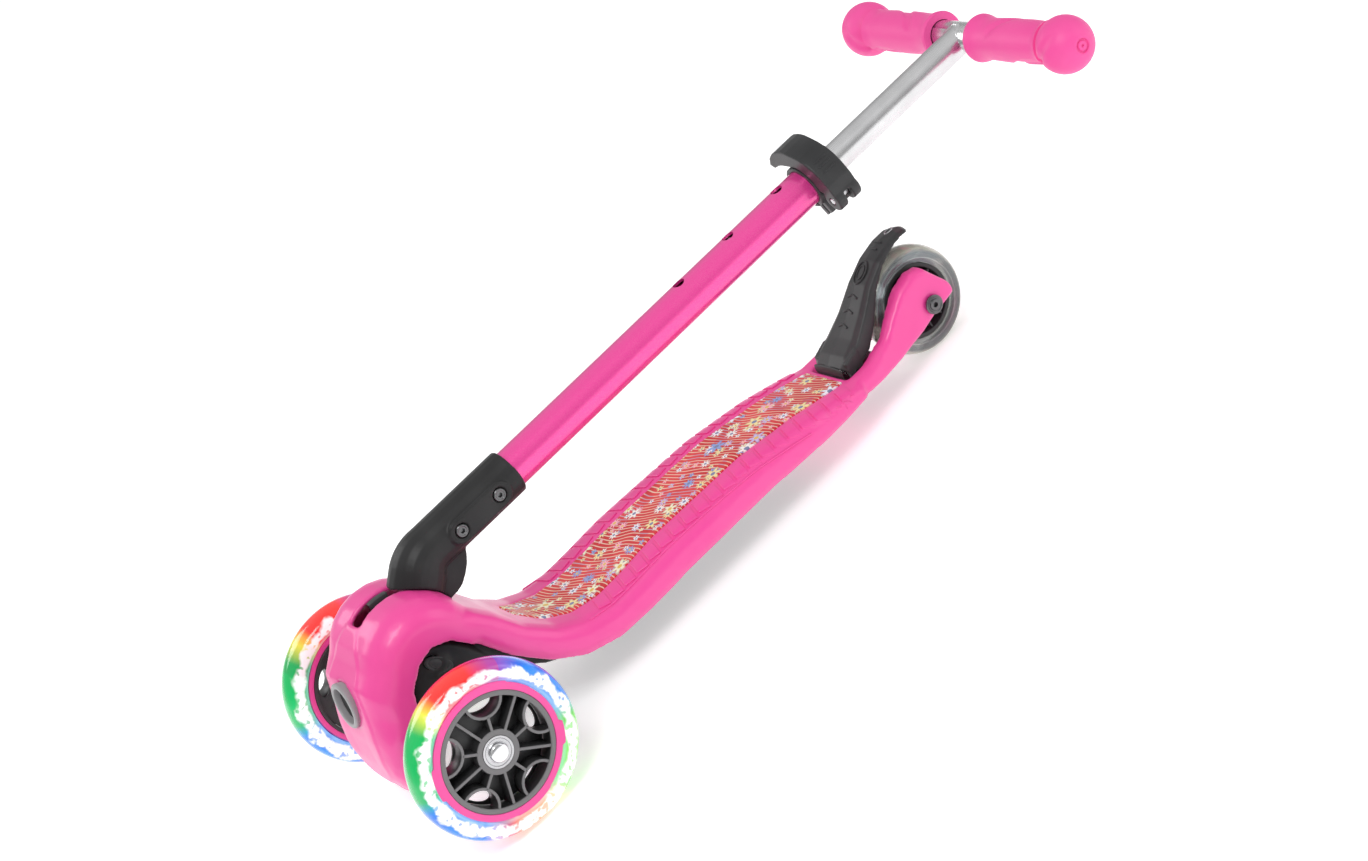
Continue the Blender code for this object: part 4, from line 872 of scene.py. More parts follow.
@dataclass
class Deck(Assembly):
    """The moulded foot board with its nose, treads, printed mat and underbody."""

    voxel: float = 1.7 * MM
    tread_pitch: float = 12 * MM
    tread_size: tuple[float, float, float] = (9.2 * MM, 15.5 * MM, 2.8 * MM)
    tread_rise: float = 1.1 * MM
    tread_slant: float = math.radians(13.5)
    tread_run: tuple[float, float] = (-0.080, 0.150)
    tread_across: float = 40.5 * MM
    rim_height: float = 42 * MM
    band_across: float = 50.0 * MM
    band_run: tuple[float, float] = (-0.040, 0.165)
    band_line: tuple[float, float] = (1.6 * MM, 1.0 * MM)
    band_line_rise: float = 0.2 * MM
    band_line_steps: int = 48
    above: float = 0.3
    plate_centre: tuple[float, float] = (0.0, 0.0935)
    plate_half: tuple[float, float] = (29 * MM, 54 * MM)
    plate_rise: float = 0.9 * MM

    def build(self) -> None:
        """Makes every piece of the deck."""
        shell = self.shell()
        self.treads(shell)
        self.band_edges(shell)
        self.mat()
        under = moulded("underbody_skin", "underbody", 1.5 * MM, 4)
        self.give(under, "deck", "black_plastic", "underbody")
        self.bosses()

    def shell(self) -> bpy.types.Object:
        """The pink shell, with the egg-shaped face plate raised on its nose."""
        shell = moulded("deck_moulding", "deck_shell", self.voxel, 7)
        self.give(shell, "deck", "pink_plastic", "deck_shell")

        def plate(points: np.ndarray, normals: np.ndarray) -> np.ndarray:
            """How far the face plate stands up."""
            wide = (points[:, 1] - self.plate_centre[0]) / self.plate_half[0]
            tall = (points[:, 2] - self.plate_centre[1]) / self.plate_half[1]
            wide = wide * (1 + 0.25 * tall)
            inside = 1 - np.sqrt(wide ** 2 + tall ** 2)
            front = ease(normals[:, 0], 0.0, 0.2) * (points[:, 0] > FRONT_AXLE.x)
            return self.plate_rise * ease(inside, -0.03, 0.07) * front

        reshape(shell, plate)
        return shell

    def treads(self, shell: bpy.types.Object) -> None:
        """The slanted pads along both sides of the mat, each of whose points follows the shell's surface."""
        height = self.tread_size[2]
        master = block("tread_master", self.tread_size, 0.7 * MM, 5)
        count = round((self.tread_run[1] - self.tread_run[0]) / self.tread_pitch)
        for side in Side:
            pads = []
            for i in range(count + 1):
                x = self.tread_run[0] + i * self.tread_pitch
                turn = Matrix.Rotation(-side.value * self.tread_slant, 4, "Z")
                place = Matrix.Translation((x, side.value * self.tread_across, 0)) @ turn
                pads.append(copied(master, f"tread_{side.name}_{i}", place))
            strip = joined(f"deck_treads_{side.name}", pads)
            for vertex in strip.data.vertices:
                x, y, z = vertex.co
                hit, ground, _, _ = shell.ray_cast(Vector((x, y, self.above)), Vector((0, 0, -1)))
                if not hit:
                    _, ground, _, _ = shell.closest_point_on_mesh(Vector((x, y, self.rim_height)))
                vertex.co = ground + Vector((0, 0, self.tread_rise - height / 2 + z))
            self.give(smooth(strip, 50), "deck", "pink_plastic")
        bpy.data.objects.remove(master)

    def band_edges(self, shell: bpy.types.Object) -> None:
        """The raised lines where the tread strips end and the rolled side bands begin."""
        start, end = self.band_run
        width, thick = self.band_line
        for side in Side:
            places = []
            for i in range(self.band_line_steps + 1):
                x = start + (end - start) * i / self.band_line_steps
                ground, _ = touch(shell, (x, side.value * self.band_across, self.above), (0, 0, -1))
                places.append(ground + Vector((0, -width / 2, self.band_line_rise)))
            line = ribbon(f"deck_band_edge_{side.name}", places, width, thick)
            bevel(line, 0.35 * MM, 2)
            self.give(smooth(line, 50), "deck", "pink_plastic")

    def mat(self) -> None:
        """The printed mat, with a flat layout of its print kept as an attribute."""
        mat = moulded("flower_mat", "grip_panel", 0.9 * MM, 4)
        points = np.zeros(len(mat.data.vertices) * 3)
        mat.data.vertices.foreach_get("co", points)
        points = points.reshape(-1, 3)
        edges = np.linspace(points[:, 0].min(), points[:, 0].max(), 60)
        tops = np.array([points[np.abs(points[:, 0] - x) < 3 * MM, 2].max() for x in edges])
        length = np.concatenate([[0], np.cumsum(np.hypot(np.diff(edges), np.diff(tops)))])
        laid = np.stack([np.interp(points[:, 0], edges, length), points[:, 1], np.zeros(len(points))], 1)
        attribute = mat.data.attributes.new("laid", "FLOAT_VECTOR", "POINT")
        attribute.data.foreach_set("vector", laid.astype(np.float32).ravel())
        self.give(mat, "deck", "panel_print", "grip_panel")

    def bosses(self) -> None:
        """The ringed oval boss on each cheek of the underbody."""
        centre = Vector((FOLD_AXIS.x - 2.5 * MM, 0, FOLD_AXIS.z - 4 * MM))
        outline = [(0, 0), (6.2 * MM, 0), (6.2 * MM, 1.2 * MM), (5.2 * MM, 1.6 * MM), (4.7 * MM, 1.0 * MM),
                   (3.9 * MM, 1.0 * MM), (2.8 * MM, 1.9 * MM), (0, 2.2 * MM)]
        tilt = Matrix.Rotation(math.radians(-50), 4, "Y")
        for side in Side:
            boss = turned(f"cheek_boss_{side.name}", outline, (0, 0, 0), (0, side.value, 0))
            stretch = Matrix.Translation(centre + Vector((0, side.value * 39.6 * MM, 0))) @ tilt
            boss.data.transform(stretch @ Matrix.Diagonal((1.75, 1, 0.82, 1)))
            self.give(boss, "deck", "dark_plastic")


@dataclass
class SteeringLock(Assembly):
    """The round button on the nose and the ring round it."""

    def build(self) -> None:
        """Turns the ring and the dished button."""
        axis = -Vector(joint("steering_lock_press")["axis"]).normalized()
        low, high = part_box("lock_bezel")
        radius = (high.y - low.y) / 2
        centre = middle("steering_lock_button")
        corners = [v.co for v in frame["nodes"]["lock_bezel"].data.vertices]
        top = max((c - centre).dot(axis) for c in corners)
        bottom = min((c - centre).dot(axis) for c in corners)
        button = (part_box("steering_lock_button")[1].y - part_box("steering_lock_button")[0].y) / 2
        ring = [(button + 0.4 * MM, bottom), (radius - 2.0 * MM, bottom), (radius - 0.3 * MM, top - 2.2 * MM),
                (radius - 0.3 * MM, top - 0.7 * MM), (radius - 1.2 * MM, top), (button + 0.8 * MM, top),
                (button + 0.4 * MM, top - 0.8 * MM)]
        self.give(turned("lock_ring", ring, centre, axis), "deck", "grey_plastic", "lock_bezel")
        face = max((v.co - centre).dot(axis) for v in frame["nodes"]["steering_lock_button"].data.vertices)
        dish = [(0, face - 6 * MM), (button - 2 * MM, face - 6 * MM), (button - 2 * MM, face - 4 * MM),
                (button - 0.2 * MM, face - 4 * MM), (button - 0.2 * MM, face - 0.8 * MM),
                (button - 1.2 * MM, face), (button - 3.0 * MM, face - 0.3 * MM),
                (button - 7.0 * MM, face - 1.1 * MM), (0, face - 1.4 * MM)]
        self.give(turned("lock_push_button", dish, centre, axis), "lock_button", "black_plastic",
                  "steering_lock_button")
        self.give(machined("fold_release_tab", "fold_release_key", 0.6 * MM), "fold_key", "dark_plastic",
                  "fold_release_key")


@dataclass
class FrontWheel(Assembly):
    """One lit front wheel: tyre, stepped pink ring, spoked rim, bearings and cap."""

    side: Side = Side.left
    spoke_start: float = math.radians(127)
    spokes: int = 5
    rib: float = 2.0 * MM
    pocket_half: float = 13.0 * MM
    pocket_floor: float = 25.0 * MM

    def name(self, what: str) -> str:
        """A piece's name with the side on it."""
        return f"{what}_{self.side.name}"

    def build(self) -> None:
        """Makes every piece of the wheel."""
        spin = f"front_wheel_{self.side.name}"
        self.centre = pivot(f"{spin}_spin")
        self.axis = Vector((0, self.side.value, 0))
        self.give(self.tyre(), spin, "clear_urethane", self.name("front_tyre"))
        self.give(self.ring(), spin, "pink_plastic", self.name("front_light_ring"))
        self.give(self.rim(), spin, "spokes", self.name("front_rim"), slot="grey_plastic")
        for place, sign in (("outer", 1), ("inner", -1)):
            node = f"front_bearing_{self.side.name}_{place}"
            self.give(self.bearing(node, sign), spin, "steel", node)
        node = self.name("front_axle_cap")
        out = abs(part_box(node)[1].y if self.side is Side.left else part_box(node)[0].y) - abs(self.centre.y)
        dome = [(0, out - 2.8 * MM), (6.7 * MM, out - 2.8 * MM), (6.7 * MM, out - 2.0 * MM),
                (6.0 * MM, out - 1.0 * MM), (4.4 * MM, out - 0.25 * MM), (2.2 * MM, out), (0, out)]
        cap = turned(self.name("axle_dome"), dome, self.centre, self.axis, round_edge=0.25 * MM)
        self.give(cap, "truck", "chrome", node)

    def tyre(self) -> bpy.types.Object:
        """The round-shouldered tyre."""
        low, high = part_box(self.name("front_tyre"))
        crown, half = (high.z - low.z) / 2, (high.y - low.y) / 2
        seat = crown - 14.7 * MM
        outline = [(seat, half - 2.6 * MM), (seat + 2.5 * MM, half - 0.9 * MM)]
        turns = 16
        for i in range(turns + 1):
            angle = math.pi * i / turns
            outline.append((crown - 8.6 * MM + 8.6 * MM * math.sin(angle) ** 0.8, half * math.cos(angle)))
        outline += [(seat + 2.5 * MM, -half + 0.9 * MM), (seat, -half + 2.6 * MM)]
        return turned(self.name("lit_tyre"), outline, self.centre, self.axis, 128, 0)

    def ring(self) -> bpy.types.Object:
        """The pink ring between tyre and rim, whose outer edge steps in and out."""
        low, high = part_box(self.name("front_light_ring"))
        outer = (high.z - low.z) / 2
        face = max(abs(high.y), abs(low.y)) - abs(self.centre.y)
        back = min(abs(high.y), abs(low.y)) - abs(self.centre.y)
        inner = outer - 4.3 * MM
        outline = [(inner, back), (outer - 0.6 * MM, back), (outer - 0.6 * MM, face - 1.6 * MM),
                   (outer + 0.4 * MM, face - 1.2 * MM), (outer + 0.4 * MM, face + 0.9 * MM),
                   (inner, face + 1.1 * MM)]
        ring = turned(self.name("pink_ring"), outline, (0, 0, 0), (0, 0, 1), 180, 0.2 * MM)
        steps = ((0.00, 0.05, 2.0), (0.05, 0.17, -0.4), (0.23, 0.34, 0.8), (0.34, 0.40, -0.3),
                 (0.52, 0.60, 1.9), (0.60, 0.72, -0.2), (0.80, 0.90, 0.5))
        points = np.zeros(len(ring.data.vertices) * 3)
        ring.data.vertices.foreach_get("co", points)
        points = points.reshape(-1, 3)
        clock = (np.arctan2(points[:, 1], points[:, 0]) / TURN) % 1
        radius = np.hypot(points[:, 0], points[:, 1])
        flange = (radius > outer - 0.3 * MM) & (points[:, 2] > face - 1.5 * MM)
        for start, end, rise in steps:
            points[flange & (clock > start) & (clock < end), :2] *= 1 + rise * MM / outer
        ring.data.vertices.foreach_set("co", points.ravel())
        start = Matrix.Rotation(math.radians(125.9), 4, (0, -1, 0))
        lay = placing((0, 0, 0), self.axis)
        settle(ring, Matrix.Translation(self.centre) @ start @ lay)
        return smooth(ring)

    def polar(self, radius: float, angle: float, across: float = 0.0) -> tuple[float, float]:
        """A point of the wheel's plane at a radius along a direction, and a distance across it."""
        x, y = radius * math.cos(angle), radius * math.sin(angle)
        return x - across * math.sin(angle), y + across * math.cos(angle)

    def rim(self) -> bpy.types.Object:
        """The rim's barrel and hub, with radial ribs and a U-shaped pocket between each two."""
        low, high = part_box(self.name("front_rim"))
        outer = (high.z - low.z) / 2
        face = max(abs(high.y), abs(low.y)) - abs(self.centre.y)
        back = min(abs(high.y), abs(low.y)) - abs(self.centre.y)
        bearing = 11.2 * MM
        barrel = [(outer - 3.6 * MM, face - 0.3 * MM), (outer - 2.0 * MM, face), (outer, face - 0.4 * MM),
                  (outer, back), (outer - 2.4 * MM, back), (outer - 3.0 * MM, face - 6 * MM)]
        hub = [(bearing, face - 0.9 * MM), (15 * MM, face - 0.9 * MM), (15.8 * MM, face - 4 * MM),
               (15.0 * MM, back + 1 * MM), (bearing, back + 1 * MM)]
        up = (0, 0, 1)
        made = [turned("rim_barrel", barrel, (0, 0, 0), up), turned("rim_hub", hub, (0, 0, 0), up)]
        top, bottom = face - 0.8 * MM, face - 15 * MM
        for i in range(self.spokes):
            angle = TURN * i / self.spokes
            made.append(wall("radial_rib", [self.polar(r, angle) for r in (14.6 * MM, outer - 2.6 * MM)],
                             self.rib, bottom, top))
            aim = angle + math.pi / self.spokes
            mouth, floor = self.pocket_half, self.pocket_floor
            lip = outer - 2.9 * MM
            path = [self.polar(lip - (lip - floor) * math.sin(math.pi * k / 14), aim,
                               -mouth * math.cos(math.pi * k / 14)) for k in range(15)]
            made.append(wall("pocket_rib", path, self.rib, bottom + 2 * MM, top))
            stem = [self.polar(14.8 * MM, aim), self.polar(floor + 0.4 * MM, aim)]
            made.append(wall("stem_rib", stem, self.rib, bottom + 3 * MM, top))
        web = [(14.9 * MM, 0.4 * MM), (outer - 2.9 * MM, -3.6 * MM), (outer - 2.9 * MM, -5.2 * MM),
               (14.9 * MM, -1.2 * MM)]
        disc = turned("rim_web", web, (0, 0, 0), up, 90)
        for i in range(self.spokes):
            angle = TURN * (i + 0.5) / self.spokes
            x, y = self.polar(31.5 * MM, angle)
            hole = drum("web_hole", 7.6 * MM, -8 * MM, 4 * MM, 40)
            settle(hole, Matrix.Translation((x, y, 0)) @ Matrix.Rotation(angle, 4, "Z")
                   @ Matrix.Diagonal((0.62, 1.35, 1, 1)))
            combine(disc, hole, "DIFFERENCE")
        made.append(disc)
        rim = joined(self.name("spoked_rim"), made)
        start = Matrix.Rotation(self.spoke_start, 4, (0, -1, 0))
        lay = placing((0, 0, 0), self.axis)
        settle(rim, Matrix.Translation(self.centre) @ start @ lay)
        return smooth(rim, 35)

    def bearing(self, node: str, sign: int) -> bpy.types.Object:
        """A bearing with its two races and the shield between them."""
        low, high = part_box(node)
        radius, width = (high.z - low.z) / 2, high.y - low.y
        outline = [(4.4 * MM, 0), (radius, 0), (radius, width), (radius - 1.5 * MM, width),
                   (radius - 1.9 * MM, width - 0.5 * MM), (7.3 * MM, width - 0.5 * MM), (6.9 * MM, width),
                   (4.4 * MM, width)]
        heading = self.axis * sign
        start = Vector((self.centre.x, low.y if heading.y > 0 else high.y, self.centre.z))
        return turned(node.replace("front_", "shielded_"), outline, start, heading, 64, 0.15 * MM)


@dataclass
class RearWheel(Assembly):
    """The rear wheel with its ribbed core and ringed axle bolt."""

    def build(self) -> None:
        """Makes the tyre, the core and the axle's ends."""
        low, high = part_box("rear_tyre")
        crown, half = (high.z - low.z) / 2, (high.y - low.y) / 2
        seat = crown - 12.2 * MM
        outline = [(seat, half - 2 * MM), (seat + 3 * MM, half - 0.4 * MM)]
        for i in range(17):
            angle = math.pi * i / 16
            outline.append((crown - 8 * MM + 8 * MM * math.sin(angle) ** 0.7, half * math.cos(angle)))
        outline += [(seat + 3 * MM, -half + 0.4 * MM), (seat, -half + 2 * MM)]
        tyre = turned("smoke_tyre", outline, REAR_AXLE, steps=128, round_edge=0)
        self.give(tyre, "rear_wheel", "smoke_urethane", "rear_tyre")
        self.give(self.core(), "rear_wheel", "dark_plastic", "rear_core")
        self.give(smooth(self.axle_bolt()), "deck", "black_steel", "rear_axle_bolt", slot="steel")
        for node, body in (("rear_axle_nut", "deck"), ("rear_bearing_left", "rear_wheel"),
                           ("rear_bearing_right", "rear_wheel"), ("brake_pin", "deck")):
            self.give(machined(f"{node}_turned", node), body, "steel", node)

    def axle_bolt(self) -> bpy.types.Object:
        """The axle bolt, with a ring raised on its head and a hexagon socket in it."""
        low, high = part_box("rear_axle_bolt")
        head, radius = high.y, (high.z - low.z) / 2
        shank = 3.9 * MM
        shape = [(0, low.y), (shank, low.y), (shank, head - 2.2 * MM), (radius, head - 2.2 * MM),
                 (radius, head - 1.2 * MM), (radius - 1.2 * MM, head - 0.7 * MM),
                 (radius - 1.9 * MM, head - 1.3 * MM), (4.3 * MM, head - 1.3 * MM),
                 (3.9 * MM, head - 0.2 * MM), (3.0 * MM, head), (0, head)]
        centre = Vector((REAR_AXLE.x, 0, REAR_AXLE.z))
        bolt = turned("rear_axle_bolt_turned", shape, centre, round_edge=0.2 * MM)
        return socketed(bolt, REAR_AXLE + Vector((0, head, 0)), 2.1 * MM, 2.4 * MM)

    def core(self) -> bpy.types.Object:
        """The core: barrel, hub and ribs over a thin web."""
        low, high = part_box("rear_core")
        outer, half = (high.z - low.z) / 2, (high.y - low.y) / 2
        hub = 14.2 * MM
        outline = [(11.4 * MM, -half), (hub, -half), (hub + 1 * MM, -2 * MM), (outer - 4 * MM, -2 * MM),
                   (outer - 3 * MM, -half + 1 * MM), (outer, -half + 1 * MM), (outer, half - 1 * MM),
                   (outer - 3 * MM, half - 1 * MM), (outer - 4 * MM, 2 * MM), (hub + 1 * MM, 2 * MM),
                   (hub, half), (11.4 * MM, half)]
        made = [turned("core_body", outline, (0, 0, 0), (0, 0, 1))]
        for i in range(12):
            angle = TURN * i / 12
            path = [(r * math.cos(angle), r * math.sin(angle)) for r in (hub - 0.4 * MM, outer - 2.5 * MM)]
            made.append(wall("core_rib", path, 1.4 * MM, -half + 2 * MM, half - 2 * MM))
        core = joined("ribbed_core", made)
        return smooth(settle(core, placing(REAR_AXLE, (0, 1, 0))), 35)


@dataclass
class Brake(Assembly):
    """The foot brake with its oval rings, ridges, tip ring and apron, and the web below its root."""

    rings: tuple[tuple[float, float], ...] = ((7.6 * MM, 0.75 * MM), (4.6 * MM, 0.6 * MM))
    ring_share: float = 0.60
    chevron_shares: tuple[float, ...] = (0.42, 0.31, 0.20)
    chevron_slant: float = math.radians(20)
    bar_shares: tuple[float, ...] = (0.80, 0.86)
    tip_share: float = 0.97
    web_size: tuple[float, float, float] = (46 * MM, 34 * MM, 1.6 * MM)
    web_centre: tuple[float, float, float] = (-0.113, 0, 25.4 * MM)
    web_slope: float = math.radians(-4)

    def build(self) -> None:
        """Moulds the pedal, lays its details on it and closes the gap round its root."""
        pedal = moulded("brake_moulding", "brake_pedal", 0.8 * MM, 6)
        self.give(pedal, "brake", "dark_plastic", "brake_pedal")
        self.details(pedal)
        self.apron()
        self.heel_web()

    def details(self, pedal: bpy.types.Object) -> None:
        """The rings and ridges, each laid on the pedal."""
        low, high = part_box("brake_pedal")
        root, tip = Vector((high.x - 9 * MM, 0, low.z + 24 * MM)), Vector((low.x + 8 * MM, 0, high.z))
        out = Vector((root.z - tip.z, 0, tip.x - root.x)).normalized() * -0.04

        def at(share: float, across: float) -> Matrix:
            """The surface's frame at a share of the way from root to tip and a distance across."""
            origin = root.lerp(tip, share) + Vector((0, across, 0)) + out
            place, normal = touch(pedal, origin, -out)
            return lying(place, normal, (0, 1, 0))

        made = []
        for radius, thick in self.rings:
            ring = oval_ring("brake_ring", radius, thick, (0.78, 1.15))
            made.append(settle(ring, at(self.ring_share, 0)))
        for i, share in enumerate(self.chevron_shares):
            for side in Side:
                bar = block("brake_bar", (6.4 * MM, 1.6 * MM, 1.8 * MM), 0.6 * MM)
                turn = Matrix.Rotation(-side.value * self.chevron_slant, 4, "Z")
                made.append(settle(bar, at(share, side.value * (3.0 - 0.2 * i) * MM) @ turn))
        for share in self.bar_shares:
            bar = block("brake_grip_bar", (8.5 * MM, 1.4 * MM, 1.6 * MM), 0.5 * MM)
            made.append(settle(bar, at(share, 0)))
        details = joined("brake_relief", made)
        self.give(smooth(details, 50), "brake", "dark_plastic")
        badge = oval_ring("brake_tip_badge", 2.6 * MM, 0.5 * MM, (0.8, 1.3), 48)
        self.give(smooth(settle(badge, at(self.tip_share, 0))), "brake", "steel")

    def apron(self) -> None:
        """The curved foot that closes the gap between the pedal's root and the mat."""
        _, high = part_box("brake_pedal")
        half = high.y - 1.2 * MM
        profile = ((-0.6 * MM, 45.5 * MM), (0.8 * MM, 42.5 * MM), (1.4 * MM, 39 * MM), (1.2 * MM, 35 * MM))
        places = [Vector((high.x + ahead, -half, z)) for ahead, z in profile]
        foot = ribbon("brake_apron", places, 2 * half, 1.6 * MM)
        apply(foot, "SUBSURF", levels=2, render_levels=2)
        self.give(smooth(foot), "brake", "dark_plastic")

    def heel_web(self) -> None:
        """The black web between the rear arms, under the brake's root and ahead of the tyre."""
        web = block("heel_web", self.web_size, 0.5 * MM)
        place = Matrix.Translation(self.web_centre) @ Matrix.Rotation(self.web_slope, 4, "Y")
        self.give(smooth(settle(web, place)), "deck", "black_plastic")


@dataclass
class TBar(Assembly):
    """The folding elbow, the painted lower tube and the clamp round its top."""

    tube_radius: float = 14 * MM
    wall: float = 2 * MM
    tube_ends: tuple[float, float] = (62 * MM, 444.2 * MM)
    holes: tuple[float, ...] = (305.2 * MM, 354.2 * MM, 403.2 * MM)
    bolts: tuple[float, ...] = (75.5 * MM, 110.5 * MM)

    def build(self) -> None:
        """Makes every piece of the T-bar."""
        elbow = moulded("elbow_moulding", "elbow_socket", 0.85 * MM, 5)
        self.give(elbow, "t_bar", "black_plastic", "elbow_socket")
        for reach, name in zip(self.bolts, ("lower", "upper")):
            self.bolt(reach, name)
            node = f"elbow_nut_{name}"
            self.give(machined(f"{node}_cut", node), "t_bar", "black_steel", node, slot="steel")
        self.give(self.tube(), "t_bar", "pink_paint", "lower_tube")
        self.clamp()

    def tube(self) -> bpy.types.Object:
        """The pink tube with its three height holes."""
        low, high = self.tube_ends
        tube = drum("painted_tube", self.tube_radius, low, high)
        combine(tube, drum("tube_bore", self.tube_radius - self.wall, low - 0.01, high + 0.01), "DIFFERENCE")
        for reach in self.holes:
            hole = drum("height_hole", 4.6 * MM, 0, 0.03, 48)
            settle(hole, Matrix.Translation((0, 0, reach)) @ Matrix.Rotation(math.pi / 2, 4, "Y"))
            combine(tube, hole, "DIFFERENCE")
        bevel(tube, 0.35 * MM, 2, 40)
        settle(tube, self.lay())
        smooth(tube)
        apply(tube, "WEIGHTED_NORMAL", keep_sharp=True)
        return tube

    @staticmethod
    def lay() -> Matrix:
        """The matrix from the tube's own frame, with Z along it and X outwards, to the scooter's."""
        turn = Matrix((TUBE_OUT, TUBE_RUN.cross(TUBE_OUT), TUBE_RUN)).transposed().to_4x4()
        return Matrix.Translation(on_tube(0)) @ turn

    def bolt(self, reach: float, name: str) -> None:
        """A socket-head bolt through the elbow, with a ringed head and a hexagon in it."""
        node = f"elbow_bolt_{name}"
        low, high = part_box(node)
        centre = Vector((middle(node).x, 0, middle(node).z))
        head = high.y
        outline = [(0, low.y), (2.4 * MM, low.y), (2.4 * MM, head - 3.2 * MM), (4.7 * MM, head - 3.2 * MM),
                   (4.7 * MM, head - 0.7 * MM), (4.1 * MM, head), (3.2 * MM, head),
                   (2.9 * MM, head - 0.3 * MM), (0, head - 0.3 * MM)]
        bolt = turned(f"socket_bolt_{name}", outline, centre, (0, 1, 0), 64, 0.15 * MM)
        socketed(bolt, centre + Vector((0, head, 0)), 1.9 * MM, 2.2 * MM)
        self.give(smooth(bolt), "t_bar", "black_steel", node, slot="steel")

    def clamp(self) -> None:
        """The clamp's collar, bolt, lever and pin, with ridges on the lever."""
        collar = machined("clamp_collar_cut", "clamp_collar", 0.5 * MM)
        self.give(collar, "t_bar", "dark_plastic", "clamp_collar", slot="brushed_aluminium")
        self.give(machined("clamp_bolt_turned", "clamp_bolt"), "t_bar", "steel", "clamp_bolt")
        self.give(machined("clamp_pin_turned", "clamp_pin"), "clamp_lever", "steel", "clamp_pin")
        lever = moulded("clamp_lever_moulding", "clamp_lever", 0.7 * MM, 6)
        self.give(lever, "clamp_lever", "dark_plastic", "clamp_lever")
        axis = on_tube(432.5 * MM)
        made = []
        for degrees in (52, 60, 68):
            angle = math.radians(degrees)
            out = Vector((0, math.sin(angle), 0)) + TUBE_OUT * math.cos(angle)
            place, normal = touch(lever, axis + out * 0.08, -out)
            bar = block("lever_bar", (11 * MM, 1.2 * MM, 1.0 * MM), 0.45 * MM)
            made.append(settle(bar, lying(place, normal, TUBE_RUN)))
        self.give(smooth(joined("clamp_lever_ridges", made), 50), "clamp_lever", "dark_plastic")


